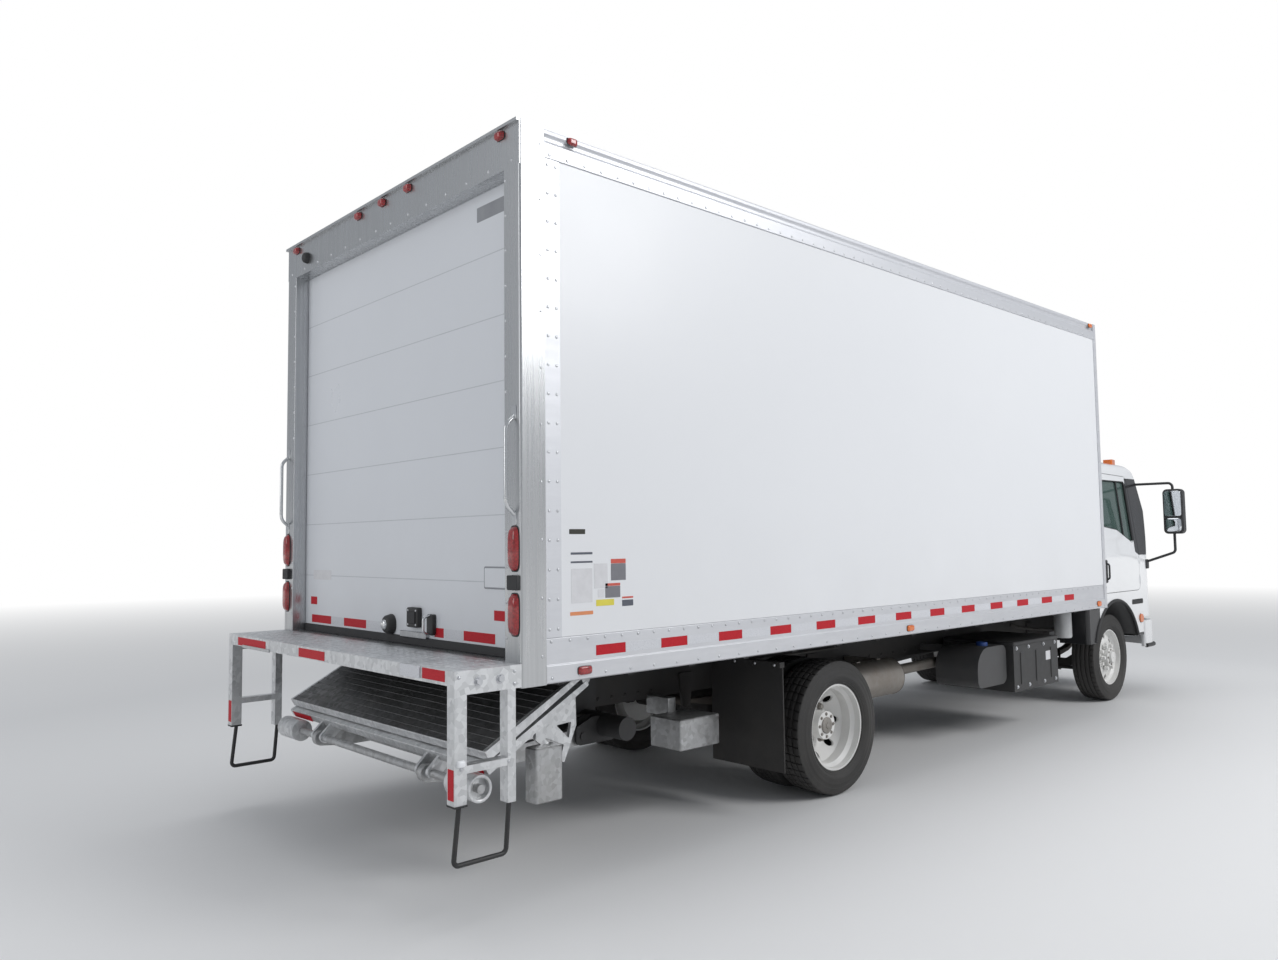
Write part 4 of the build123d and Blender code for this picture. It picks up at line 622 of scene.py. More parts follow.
def hex_head(radius, height, washer=1.35):
    """A bolt: a round washer, then a six-sided head with an eased top."""
    turn = full_turn(24)
    corner = radius / np.cos((turn + np.pi / 6) % (np.pi / 3) - np.pi / 6) * np.cos(np.pi / 6)
    rings = [(radius * washer, 0.0), (radius * washer, height * 0.18), (corner, height * 0.18),
             (corner, height * 0.88), (corner * 0.9, height)]
    spoke = np.column_stack([np.cos(turn), np.sin(turn)])
    points = [at_height(np.reshape(reach, (-1, 1)) * spoke, z) for reach, z in rings]
    return np.concatenate(points), ring_faces(len(rings), 24, closed_start=False)


zinc = galvanised("zinc", (0.74, 0.75, 0.76), (0.56, 0.57, 0.58), 0.2)
dull_zinc = galvanised("dull_zinc", (0.52, 0.53, 0.54), (0.38, 0.385, 0.39), 0.35)
coat(zinc, "liftgate_deck")
coat(black_iron, "wire_steps")
DECK_REAR_X = -4.130
DECK_BOLTS = [(0.110, 0.952), (0.215, 0.952)]  # X from the deck's rear edge, Z
DECK_SCREWS = [(0.020, 0.975), (0.285, 0.975), (0.285, 0.925), (0.030, 0.620), (0.255, 0.616)]
deck_pieces = []
for side, label in SIDES:
    outward = (0, side, 0)
    deck_pieces += [
        copies("deck_bolts_" + label, hex_head(0.015, 0.013),
               [(DECK_REAR_X + x, side * HALF_BODY, z) for x, z in DECK_BOLTS], outward, rivet_metal,
               smooth=False),
        copies("deck_screws_" + label, dome(0.008, 0.005),
               [(DECK_REAR_X + x, side * HALF_BODY, z) for x, z in DECK_SCREWS], outward, rivet_metal),
        copies("leg_tape_" + label, rounded_plate(0.022, 0.060, 0.002, TAPE_T),
               (DECK_REAR_X, side * 1.1925, 0.560), REARWARD, tape_red, smooth=False),
        copies("leg_foot_" + label, rounded_plate(0.030, 0.032, 0.004, 0.008),
               (DECK_REAR_X + 0.029, side * 1.192, 0.480), (0, 0, -1), gasket_rubber, upward=(0, 1, 0))]
STUD_X, STUD_Y = 0.045, 0.055  # pitch of the studs each way; every other row is set over by half a pitch
studs = np.stack(np.meshgrid(DECK_REAR_X + 0.035 + STUD_X * np.arange(6), -1.155 + STUD_Y * np.arange(43),
                             indexing="ij"), -1).reshape(-1, 2)
studs = studs + np.array([0.0, STUD_Y / 2]) * (np.round(studs[:, :1] / STUD_X) % 2)
EDGE_PARTS = [  # name, Y of the middle, Z, half width, half height, thickness, finish
    ("edge_panel_right", -0.876, 0.975, 0.080, 0.024, 0.006, tape_silver),
    ("edge_tape_right", -1.060, 0.975, 0.088, 0.022, 0.0012, tape_red),
    ("edge_tape_left", 0.880, 0.967, 0.200, 0.022, 0.0012, tape_red),
    ("edge_strip_left", 0.812, 0.943, 0.190, 0.008, 0.006, stainless),
    ("edge_tape_middle", 0.100, 0.967, 0.150, 0.022, 0.0012, tape_red),
]
deck_pieces += [copies(name, rounded_plate(half_width, half_height, 0.002, thickness), (DECK_REAR_X, y, z),
                       REARWARD, finish, smooth=False)
                for name, y, z, half_width, half_height, thickness, finish in EDGE_PARTS]
deck_pieces += [
    copies("deck_grip", dome(0.011, 0.0025, sides=6, rings=2), at_height(studs, FLOOR_TOP), UPWARD, zinc,
           upward=FORWARD),
    copies("leg_lamp", lens_dome(0.020, 0.014, 0.014), (DECK_REAR_X + 0.028, -HALF_BODY, 0.640), (0, -1, 0),
           new_finish("white_lens", (0.82, 0.83, 0.85), 0.15)[0])]
for piece in deck_pieces:
    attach(piece, "root")


# Liftgate: a folded platform of treaded plate on two box arms, all galvanised and dulled by road film;
# its faces and grip bars are painted shade in near-black zinc. It leans up and forward from its hinge tube,
# with stop blocks behind it.
def box_form(name, low, high, radius, finish):
    """A box with round vertical edges and eased top and bottom rims."""
    low, high = np.asarray(low, float), np.asarray(high, float)
    half, ease = (high - low) / 2, radius * 0.4
    turn, corner = corner_turns(4)
    rings = [at_height(oblong(half[:2], radius, corner, turn, inset), z)
             for z, inset in ((-half[2], ease), (ease - half[2], 0), (half[2] - ease, 0), (half[2], ease))]
    return mesh_piece(name, np.concatenate(rings) + (high + low) / 2, ring_faces(4, len(turn)), finish)


def turned(name, section, base, axis, finish, sides=48):
    """A turned piece: rows of radius and height go round the given axis from its base."""
    section, axis = np.array(section, float), unit(np.array(axis, float))
    first = unit(np.cross(axis, [0.3, 0.2, 1.0]))
    second, turn = np.cross(axis, first), full_turn(sides)[:, None]
    spoke = np.cos(turn) * first + np.sin(turn) * second
    points = np.asarray(base, float) + section[:, None, :1] * spoke + section[:, None, 1:] * axis
    return mesh_piece(name, points, ring_faces(len(section), sides), finish)


# Platform faces and grip bars: zinc darkened nearly to black, as painted shade of the faces turned from the
# light.
platform_shade_zinc = galvanised("platform_shade_zinc", (0.15, 0.153, 0.16), (0.095, 0.098, 0.102), 0.35)
coat(zinc, "liftgate_platform")
coat(dull_zinc, "lift_arms")
coat(black_iron, "liftgate_mount")
HINGE = np.array([-3.870, 0.0, 0.465])
LEAN = np.radians(29.0)
LEAF_TAPER = 0.017
along = np.array([np.cos(LEAN), 0.0, np.sin(LEAN)])
below = np.array([np.sin(LEAN), 0.0, -np.cos(LEAN)])


def on_leaf(reach, height, y=0.0):
    """A place on the platform: a reach along it from the hinge, and a height above its middle plane."""
    return HINGE + along * reach - below * height + np.array([0, y, 0])


ROLLER = [(0.046, 0.030), (0.046, 0.002), (0.050, 0.0), (0.058, 0.0), (0.058, 0.200), (0.022, 0.204)]
upper_face, lower_face = LEAF_TAPER * along - below, LEAF_TAPER * along + below
# The two face sheets are thin plates that carry only the painted shade over the platform's upper and lower
# faces.
gate_pieces = [
    copies("platform_grip_bars", rounded_plate(0.985, 0.0035, 0.002, 0.004),
           [on_leaf(reach, 0.1222 - LEAF_TAPER * (reach - 0.09)) for reach in 0.13 + 0.045 * np.arange(12)],
           upper_face, platform_shade_zinc, upward=along, smooth=False),
    copies("platform_face_shade", rounded_plate(0.985, 0.292, 0.004, 0.0015), on_leaf(0.385, 0.1172), upper_face,
           platform_shade_zinc, upward=along, smooth=False),
    copies("platform_lower_face_shade", rounded_plate(1.000, 0.300, 0.004, 0.0015), on_leaf(0.372, 0.0308),
           lower_face, platform_shade_zinc, upward=along, smooth=False),
    tube("platform_edge_bar", [on_leaf(0.700, 0.070, y) for y in (-1.008, -0.5, 0, 0.5, 1.008)], 0.024,
         dull_zinc, across=FORWARD),
    copies("platform_tape", rounded_plate(0.12, 0.018, 0.002, 0.001),
           [on_leaf(0.058, 0.045, y) for y in (-0.86, 0.86)], -along, tape_red, upward=-below, smooth=False),
    copies("platform_hinge_bolts", hex_head(0.013, 0.010),
           [on_leaf(reach, 0, side * 0.621) for reach in (0.0, 0.16) for side, label in SIDES],
           [(0, side, 0) for side, label in SIDES] * 2, rivet_metal, smooth=False),
    copies("arm_bolts", hex_head(0.017, 0.012),
           [(x, side * 0.580, z) for side, label in SIDES for x, z in ((-3.615, 0.452), (-3.870, 0.465))],
           [(0, 1, 0), (0, 1, 0), (0, -1, 0), (0, -1, 0)], rivet_metal, smooth=False)]
for k, (side, label) in enumerate(SIDES):
    gate_pieces += [
        turned(f"platform_roller_{k}", ROLLER, HINGE + (0, side * 1.004, 0), (0, -side, 0), zinc),
        box_form(f"platform_stop_{k}", (-3.555, side * -0.926 - 0.045, 0.330),
                 (-3.400, side * -0.926 + 0.045, 0.575), 0.014, dull_zinc)]
for piece in gate_pieces:
    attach(piece, "liftgate")

# Pump box and hoses: a black sheet box with the liftgate's pump, and two rubber hoses that sag
# from it to the mount's tube.
hose_rubber = mottled("hose_rubber", (0.020, 0.020, 0.022), (0.05, 0.048, 0.045), (0.5, 0.8), scale=12.0,
                      dust=(ROAD_DUST, 1.2, 0.5))
pump_parts = [box_form("pump_box", (-2.80, -0.41, 0.60), (-2.46, -0.02, 0.79), 0.02, black_iron)]
for name, path in (
        ("pump_hose_a", [(-2.80, -0.15, 0.66), (-2.93, -0.15, 0.64), (-2.93, -0.35, 0.58),
                         (-2.86, -0.52, 0.575)]),
        ("pump_hose_b", [(-2.80, -0.28, 0.68), (-2.95, -0.28, 0.67), (-2.97, -0.10, 0.62),
                         (-2.88, 0.10, 0.60), (-2.85, 0.50, 0.575)])):
    pump_parts.append(tube(name, bent(path, 0.05), 0.010, hose_rubber, across=(0.2, 0.3, 1)))
for piece in pump_parts:
    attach(piece, "root")

# Tyres: moulded rubber with a block tread at the rear and a rib tread in front. Rings and a rim
# guard run round each wall, and dust lies in the tread.
FRONT_X, REAR_X, TYRE_R = 3.020, -1.430, 0.395
WALL_SECTION = [  # radius, Y out from the middle of the tyre
    (0.2490, 0.0840), (0.2530, 0.0960), (0.2590, 0.1000), (0.2625, 0.1010), (0.2640, 0.0995),
    (0.2665, 0.1020), (0.2720, 0.1050), (0.2735, 0.1040), (0.2800, 0.1085), (0.2900, 0.1115),
    (0.2915, 0.1105), (0.2930, 0.1118), (0.3050, 0.1124), (0.3065, 0.1116), (0.3190, 0.1120),
    (0.3300, 0.1105), (0.3315, 0.1092), (0.3400, 0.1075), (0.3480, 0.1050), (0.3495, 0.1058),
    (0.3600, 0.1030), (0.3680, 0.1000), (0.3750, 0.0985), (0.3830, 0.0965),
]
RIBS = [  # Y of a rib's two edges, and of the next rib past the groove
    (0.0945, 0.0600, 0.0535), (0.0535, 0.0240, 0.0175), (0.0175, -0.0175, -0.0240),
    (-0.0240, -0.0535, -0.0600), (-0.0600, -0.0945, None),
]
GROOVE_DEPTH, RIB_EASE, CROWN_DROP, CROWN_CURVE, SHOULDER_Y = 0.011, 0.0015, 0.0035, 0.6, 0.055
BLOCK_CUTS = (0.009, 0.009, 0.006, 0.35)  # depth across the shoulder, the middle and the wall; lean with Y
RIB_CUTS = (0.005, 0.0, 0.003, 0.10)
PITCHES = 48
LUG_SHARES = [0.0, 0.02, 0.14, 0.16, 0.36, 0.56, 0.76, 0.98]  # places in a pitch; 0.02 and 0.14 are cut


def tyre_surface(y_middle, cuts):
    """One tyre: its section swept round the axle; grooves are drawn in by the tread's depth."""
    at_shoulder, at_middle, at_wall, slant = cuts
    wall, tread = np.array(WALL_SECTION), []  # rows of Y, depth, and share of the cross cuts' depth
    for outer, inner, following in RIBS:
        tread += [(outer, RIB_EASE, 1), (outer - 0.003, 0, 1),
                  ((outer + inner) / 2, 0, 1 if abs(outer + inner) > 0.08 else 0.6), (inner + 0.003, 0, 1),
                  (inner, RIB_EASE, 1)]
        if following is not None:
            tread += [(inner - 0.0008, GROOVE_DEPTH, 0), (following + 0.0008, GROOVE_DEPTH, 0)]
    tread_y, depth, cut_share = np.array(tread, float).T
    radius = np.concatenate([wall[:, 0], TYRE_R - CROWN_DROP - CROWN_CURVE * tread_y ** 2 - depth,
                             wall[::-1, 0]])
    along_y = np.concatenate([wall[:, 1], tread_y, -wall[::-1, 1]])
    share = np.array(LUG_SHARES)
    turn = ((np.arange(PITCHES)[:, None] + share) / PITCHES * 2 * np.pi).ravel()
    is_cut = np.tile((share > 0.01) & (share < 0.15), PITCHES)
    start, end = len(wall), len(wall) + len(tread_y)
    cut_depth, lean = np.zeros((2, len(radius)))
    cut_depth[start:end] = cut_share * np.where(np.abs(tread_y) > SHOULDER_Y, at_shoulder, at_middle)
    cut_depth[[start - 1, end]] = at_wall
    lean[start:end] = np.abs(tread_y) * slant
    angle = turn[:, None] + lean
    reach = np.minimum(radius - is_cut[:, None] * cut_depth, TYRE_R)
    across = y_middle + np.broadcast_to(along_y, angle.shape)
    points = np.stack([reach * np.cos(angle), across, reach * np.sin(angle)], -1)
    return points.reshape(-1, 3), grid_faces(len(turn), len(radius), round_first=True)


def fit_tyres(name, axle_x, middles, cuts, node, body):
    """Tyres on one hub as one mesh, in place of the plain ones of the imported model."""
    clouds, faces = [], []
    for k, y in enumerate(middles):
        points, quads = tyre_surface(y, cuts)
        clouds.append(points + (axle_x, 0, TYRE_R))
        faces += [tuple(corner + k * len(points) for corner in quad) for quad in quads]
    piece = mesh_piece(name, np.concatenate(clouds), faces, tyre_rubber)
    bead = piece.data.polygons[0]
    if bead.normal.dot(bead.center - Vector((axle_x, bead.center.y, TYRE_R))) > 0:
        piece.data.flip_normals()
    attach(piece, body)
    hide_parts(node)


tyre_rubber = mottled("tyre_rubber", (0.017, 0.017, 0.018), (0.030, 0.029, 0.028), (0.60, 0.80), scale=5.0,
                      bump=0.25, dust=((0.20, 0.185, 0.165), 1.1, 0.22))
for side, label in SIDES:
    fit_tyres("front_tread_" + label, FRONT_X, [side * 0.830], RIB_CUTS, "front_tyre_" + label,
              "front_wheel_" + label)
    fit_tyres("rear_tread_" + label, REAR_X, [side * 0.730, side * 0.984], BLOCK_CUTS, "rear_tyres_" + label,
              "rear_wheels_" + label)


# Wheels: pressed steel in white enamel, dusty in the dish, with lug nuts, a hub with its own
# bolts and cap, and a valve stem through a hand hole.
def bolt_circle(axle_x, y, radius, count):
    """Places evenly round a wheel's axle."""
    turn = full_turn(count)
    return np.column_stack([axle_x + radius * np.cos(turn), np.full(count, y),
                            TYRE_R + radius * np.sin(turn)])


STUD_R, HUB_BOLT_R = 0.111, 0.066
wheel_white = mottled("wheel_white", (0.78, 0.78, 0.765), (0.72, 0.715, 0.70), (0.28, 0.42), scale=9.0,
                      dust=((0.40, 0.36, 0.31), 1.0, 0.20))
hub_steel = mottled("hub_steel", (0.42, 0.41, 0.39), (0.24, 0.22, 0.20), (0.38, 0.6), metallic=0.7,
                    scale=25.0, dust=((0.30, 0.26, 0.22), 1.0, 0.4))
FRONT_CAP = [(0.052, -0.004), (0.052, 0.018), (0.049, 0.023), (0.036, 0.0245), (0.034, 0.021), (0.010, 0.021),
             (0.008, 0.024), (0.002, 0.0245)]
REAR_CAP = [(0.048, -0.004), (0.048, 0.006), (0.044, 0.010), (0.020, 0.012), (0.018, 0.016), (0.002, 0.017)]
HUBS = [  # place, rim, body, X, Y of the hub's face, nuts and valve, cap, finish of cap and nuts
    ("front", "front_rim_", "front_wheel_", FRONT_X, 0.930, 0.898, 0.868, FRONT_CAP, wheel_white),
    ("rear", "rear_rims_", "rear_wheels_", REAR_X, 0.997, 0.903, 0.900, REAR_CAP, hub_steel),
]
for side, label in SIDES:
    outward = (0, side, 0)
    for place, rim, body, x, face_y, nut_y, valve_y, cap, finish in HUBS:
        coat(wheel_white, rim + label)
        stem = bent([(x - 0.212, side * (valve_y - 0.035), TYRE_R + 0.085),
                     (x - 0.196, side * valve_y, TYRE_R + 0.078),
                     (x - 0.186, side * (valve_y + 0.045), TYRE_R + 0.074)], 0.012)
        for piece in (
                copies(f"{place}_nuts_{label}", hex_head(0.0165, 0.026, washer=1.3),
                       bolt_circle(x, side * nut_y, STUD_R, 6), outward, finish, smooth=False),
                copies(f"{place}_hub_bolts_{label}", hex_head(0.0075, 0.007),
                       bolt_circle(x, side * face_y, HUB_BOLT_R, 8), outward, hub_steel, smooth=False),
                turned(f"{place}_hub_cap_{label}", cap, (x, side * face_y, TYRE_R), outward, finish),
                tube(f"{place}_valve_{label}", stem, 0.0042, bright_steel, across=UPWARD, sides=10)):
            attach(piece, body + label)

# Chassis: rails, axles and springs in black paint gone dull with road film. Bolt heads run along
# the rails, U-bolts clamp the springs, and brake chambers with hoses are bolted on at the rear.
chassis_black = mottled("chassis_black", (0.018, 0.018, 0.019), (0.034, 0.032, 0.030), (0.45, 0.75),
                        scale=6.0, bump=0.1, dust=((0.20, 0.18, 0.16), 1.1, 0.20))
coat(chassis_black, "frame_rails", "frame_crossmembers", "front_axle_beam", "rear_axle_housing", "driveshaft",
     "knuckle_left", "knuckle_right", "tie_rod", "engine_block", "tilt_hinge", "body_floor")
spring_steel = mottled("spring_steel", (0.05, 0.047, 0.044), (0.085, 0.07, 0.058), (0.55, 0.8), metallic=0.3,
                       scale=14.0, dust=((0.28, 0.24, 0.20), 1.1, 0.4))
coat(spring_steel, "leaf_springs")
RAIL_Y, RAIL_BOLT_Z = 0.425, (0.640, 0.760)
rail_bolts = np.concatenate([
    row_of((start, RAIL_Y, z), (end, RAIL_Y, z), pitch) for start, end, pitch in (
        (REAR_X + 1.0, FRONT_X - 0.9, 0.16), (REAR_X - 1.5, REAR_X - 0.9, 0.10)) for z in RAIL_BOLT_Z])
SPRING_Y, CLAMP_IN, CLAMP_OUT = 0.392, 0.354, 0.430
CLAMPS = [("front", FRONT_X, 0.262, 0.402), ("rear", REAR_X, 0.322, 0.556)]  # place, X, Z of foot and top
CHAMBER = [(0.012, -0.050), (0.060, -0.048), (0.078, -0.035), (0.080, -0.006), (0.086, -0.004),
           (0.086, 0.006), (0.080, 0.008), (0.078, 0.060), (0.060, 0.085), (0.020, 0.092), (0.003, 0.093)]
CHAMBER_Y = 0.510
BRAKE_ROD = [(-0.185, 0.458), (-0.120, 0.440), (-0.060, 0.420)]  # X from the axle, Z
BRAKE_HOSE = [  # X from the axle, Y, Z
    (-0.320, CHAMBER_Y, 0.500), (-0.380, 0.500, 0.560), (-0.330, 0.446, 0.700), (-0.100, 0.446, 0.740),
    (0.9, 0.446, 0.740)]
chassis_pieces = []
for side, label in SIDES:
    for place, x, low_z, top_z in CLAMPS:
        low, top = low_z - 0.03, top_z + 0.012
        corners = [(CLAMP_IN, low), (CLAMP_IN, top), (CLAMP_OUT, top), (CLAMP_OUT, low)]  # Y, Z
        for k, offset in enumerate((-0.062, 0.062)):
            hoop = bent([(x + offset, side * y, z) for y, z in corners], 0.02)
            chassis_pieces.append(tube(f"{place}_clamp_{label}_{k}", hoop, 0.009, spring_steel,
                                       across=FORWARD))
        chassis_pieces.append(box_form(
            f"{place}_clamp_plate_{label}", (x - 0.085, side * SPRING_Y - 0.052, low_z - 0.022),
            (x + 0.085, side * SPRING_Y + 0.052, low_z - 0.008), 0.01, spring_steel))
    chassis_pieces += [
        copies("rail_bolts_" + label, dome(0.011, 0.008), rail_bolts * (1, side, 1), (0, side, 0),
               chassis_black),
        turned("brake_chamber_" + label, CHAMBER, (REAR_X - 0.230, side * CHAMBER_Y, 0.470), (-0.9, 0, 0.25),
               chassis_black),
        tube("brake_rod_" + label, [(REAR_X + x, side * CHAMBER_Y, z) for x, z in BRAKE_ROD], 0.009,
             hub_steel),
        tube("brake_hose_" + label, bent([(REAR_X + x, side * y, z) for x, y, z in BRAKE_HOSE], 0.06), 0.008,
             hose_rubber, across=(0.1, 1, 0.1))]
for piece in chassis_pieces:
    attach(piece, "root")

# Battery box and mudflaps: a moulded plastic box with ribs, a lid and hex bolts, hung on the right
# rail, and two rubber sheets bolted behind the rear wheels.
plastic_black = mottled("plastic_black", (0.024, 0.025, 0.027), (0.036, 0.036, 0.037), (0.40, 0.58),
                        scale=16.0, bump=0.12, bump_scale=0.0008, dust=((0.20, 0.185, 0.165), 1.15, 0.15))
mudflap_rubber = mottled("mudflap_rubber", (0.017, 0.017, 0.018), (0.028, 0.027, 0.026), (0.6, 0.8),
                         scale=7.0, bump=0.2, bump_scale=0.002, dust=((0.20, 0.18, 0.16), 0.95, 0.25))
coat(plastic_black, "battery_box")
coat(mudflap_rubber, "mudflaps")
BOX_X, BOX_Y = REAR_X + 2.300, -1.050
BOX_BOLTS = [(BOX_X + x, BOX_Y, z) for x in (0.05, 0.25, 0.51, 0.71) for z in (0.655, 0.365)]
FLAP_BOLTS = [(REAR_X - 0.590, side * y, 0.815) for side, label in SIDES for y in (0.65, 0.80, 0.95, 1.09)]
for piece in (
        box_form("battery_lid", (BOX_X - 0.006, -1.058, 0.676), (BOX_X + 0.766, -0.464, 0.706), 0.014,
                 plastic_black),
        copies("battery_bolts", hex_head(0.011, 0.008), BOX_BOLTS, (0, -1, 0), rivet_metal, smooth=False),
        copies("battery_label", rounded_plate(0.055, 0.035, 0.003, 0.0008), (BOX_X + 0.600, BOX_Y, 0.560),
               (0, -1, 0), vinyls["ink_pale"], smooth=False),
        copies("battery_ribs", rounded_plate(0.012, 0.120, 0.006, 0.006),
               [(BOX_X + x, BOX_Y, 0.500) for x in (0.12, 0.38, 0.64)], (0, -1, 0), plastic_black),
        copies("mudflap_bolts", dome(0.010, 0.006), FLAP_BOLTS, REARWARD, rivet_metal)):
    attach(piece, "root")


# Tanks: painted steel shells. The fuel tank hangs in two bright bands and fills through a turned
# cap, and the smaller reductant tank has a blue one.
def thickened(piece, thickness):
    """Gives a sheet its thickness, half of it to each side, with the solidify tool."""
    solidify = piece.modifiers.new("thickness", "SOLIDIFY")
    solidify.thickness, solidify.offset = thickness, 0.0
    return piece


tank_grey = mottled("tank_grey", (0.050, 0.052, 0.056), (0.072, 0.072, 0.073), (0.38, 0.6), scale=9.0,
                    dust=((0.22, 0.20, 0.18), 1.15, 0.2))
cap_blue = mottled("cap_blue", (0.02, 0.07, 0.30), (0.03, 0.09, 0.34), (0.35, 0.5))
coat(tank_grey, "reductant_tank", "fuel_tank")
TANK_X, BAND_HALF = REAR_X + 1.500, 0.025
FUEL_CAP = [(0.050, 0.0), (0.050, 0.012), (0.044, 0.016), (0.044, 0.040), (0.040, 0.046), (0.003, 0.047)]
BLUE_CAP = [(0.042, 0.0), (0.042, 0.024), (0.038, 0.030), (0.003, 0.031)]
tank_pieces = [turned("fuel_cap", FUEL_CAP, (TANK_X + 0.62, 0.985, 0.688), (0, 0.7, 0.7), bright_steel),
               turned("reductant_cap", BLUE_CAP, (BOX_X - 0.20, -0.90, 0.686), UPWARD, cap_blue)]
for k, x in enumerate((TANK_X + 0.28, TANK_X + 0.98)):
    loop = bent([(x, 0.500, 0.724), (x, 1.024, 0.724), (x, 1.024, 0.326), (x, 0.500, 0.326)], 0.09)
    band = np.stack([loop - (BAND_HALF, 0, 0), loop + (BAND_HALF, 0, 0)], 1)
    tank_pieces.append(thickened(mesh_piece(f"fuel_strap_{k}", band, grid_faces(len(loop), 2), bright_steel),
                                 0.004))
for piece in tank_pieces:
    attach(piece, "root")

# Air canister, valve box and silencer: a white canister upright behind the cab with its pipe, a
# zinc box on a hanger behind the rear axle, and a heat-stained silencer with two pressed bands.
canister_white = mottled("canister_white", (0.62, 0.63, 0.64), (0.46, 0.47, 0.48), (0.3, 0.5), metallic=0.3,
                         scale=12.0, dust=(ROAD_DUST, 1.2, 0.3))
exhaust_steel = mottled("exhaust_steel", (0.40, 0.38, 0.36), (0.25, 0.22, 0.19), (0.35, 0.6), metallic=0.75,
                        scale=8.0, dust=((0.30, 0.26, 0.21), 1.0, 0.35))
coat(exhaust_steel, "muffler")
CANISTER = [(0.03, -0.006), (0.066, -0.004), (0.072, 0.006), (0.072, 0.230), (0.066, 0.244), (0.03, 0.25),
            (0.004, 0.25)]
AIR_PIPE = [(2.190, -0.800, 0.700), (2.190, -0.60, 0.690), (2.150, -0.50, 0.700), (2.110, -0.43, 0.720)]
BAND = dome(0.127, 0.004, sides=40, rings=2)
for piece in (
        turned("air_canister", CANISTER, (2.190, -0.860, 0.635), UPWARD, canister_white),
        tube("air_canister_pipe", bent(AIR_PIPE, 0.03), 0.014, hose_rubber, across=(0.1, 0.2, 1)),
        box_form("valve_box", (REAR_X - 1.055, -0.82, 0.376), (REAR_X - 0.745, -0.58, 0.540), 0.012,
                 dull_zinc),
        box_form("valve_box_hanger", (REAR_X - 0.93, -0.60, 0.520), (REAR_X - 0.87, -0.420, 0.620), 0.004,
                 dull_zinc),
        copies("silencer_band_0", BAND, (REAR_X + 0.640, -0.690, 0.540), REARWARD, exhaust_steel),
        copies("silencer_band_1", BAND, (REAR_X + 1.160, -0.690, 0.540), FORWARD, exhaust_steel)):
    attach(piece, "root")

# Cab shell: pressed steel in gloss white under a clear coat, with black plastic round the front window above
# the belt and along the sill, and painted shade in the same black on its low corner behind the wheel. It is
# one shell that tilts.
CAB_COAT = 0.6
SHADE_BEHIND_WHEEL_X, SHADE_BEHIND_WHEEL_Z, BLACK_SILL_Z = 2.640, 0.895, 0.585
PILLAR_X, PILLAR_TOP_Z, PILLAR_IN_Y = 3.535, 2.062, 0.790
BELT = {"From_Min": 3.232, "From_Max": 3.613, "To_Min": 1.470, "To_Max": 1.322}  # from X to the belt's Z
cab_white = mottled("cab_white", (0.80, 0.81, 0.825), (0.775, 0.785, 0.80), (0.16, 0.24), scale=1.5,
                    dust=(ROAD_DUST, 1.3, 0.22), Coat_Weight=CAB_COAT)
black_part_and_shade, given, made = group_of("black_part_and_shade", {}, {"Mask": 0.0})
x, y, z = add_node(black_part_and_shade, "ShaderNodeSeparateXYZ", Vector=own_place(black_part_and_shade)).outputs
belt = add_node(black_part_and_shade, "ShaderNodeMapRange", Value=x, **BELT).outputs["Result"]
pillar_area = maths(black_part_and_shade, "MULTIPLY", maths(black_part_and_shade, "GREATER_THAN", x, PILLAR_X),
                    maths(black_part_and_shade, "GREATER_THAN", z, belt),
                    maths(black_part_and_shade, "LESS_THAN", z, PILLAR_TOP_Z),
                    maths(black_part_and_shade, "GREATER_THAN", maths(black_part_and_shade, "ABSOLUTE", y), PILLAR_IN_Y))
# Behind the wheel: painted shade, in black plastic's colour, on the shell's low rear corner.
wheel_shade_area = maths(black_part_and_shade, "MULTIPLY", maths(black_part_and_shade, "LESS_THAN", x, SHADE_BEHIND_WHEEL_X),
                   maths(black_part_and_shade, "LESS_THAN", z, SHADE_BEHIND_WHEEL_Z))
sill_area = maths(black_part_and_shade, "LESS_THAN", z, BLACK_SILL_Z)
give(black_part_and_shade, maths(black_part_and_shade, "MAXIMUM", pillar_area, wheel_shade_area, sill_area), made["Mask"])
cab_two_tone = cab_white.copy()
cab_two_tone.name = "cab_two_tone"
tree = cab_two_tone.node_tree
shader = tree.nodes["Principled BSDF"]
mask = add_node(tree, "ShaderNodeGroup", node_tree=black_part_and_shade).outputs["Mask"]
white_colour = shader.inputs["Base Color"].links[0].from_socket
# Black where the mask is set: black plastic round the window and along the sill, and painted shade behind the
# wheel.
tree.links.new(mix_colours(tree, mask, white_colour, (0.022, 0.022, 0.024, 1)), shader.inputs["Base Color"])
coat_share = add_node(tree, "ShaderNodeMapRange", Value=mask, To_Min=CAB_COAT, To_Max=0.0)
tree.links.new(coat_share.outputs["Result"], shader.inputs["Coat Weight"])
coat(cab_two_tone, "cab_shell", "cab_back", "door_left", "door_right")
coat(cab_white, "cab_roof", "front_panel", "front_bumper")
coat(plastic_black, "cab_floor", "mirrors")
coat(lens_colours["amber"], "cab_lamps")

# Cab glass: green tinted sheets, bonded or slid into rubber. They mirror the sky at a slant and
# let the seats show straight on.
glass, tree, shader = new_finish("tinted_glass", (0.105, 0.165, 0.150), 0.03, Coat_Weight=1.0)
rim_light = add_node(tree, "ShaderNodeFresnel", IOR=1.5)
share = add_node(tree, "ShaderNodeMapRange", Value=rim_light.outputs["Fac"], To_Min=0.42)
tree.links.new(share.outputs["Result"], shader.inputs["Alpha"])
coat(glass, "cab_glass", "door_glass_left", "door_glass_right")


# Cab doors: a rubber seal round each window and a thin divider in it, and a pull handle with a
# bent grip over a lock barrel, all set on the door's surface.
SIDE_LEAN, LEAN_FROM_Z = 0.106, 1.33


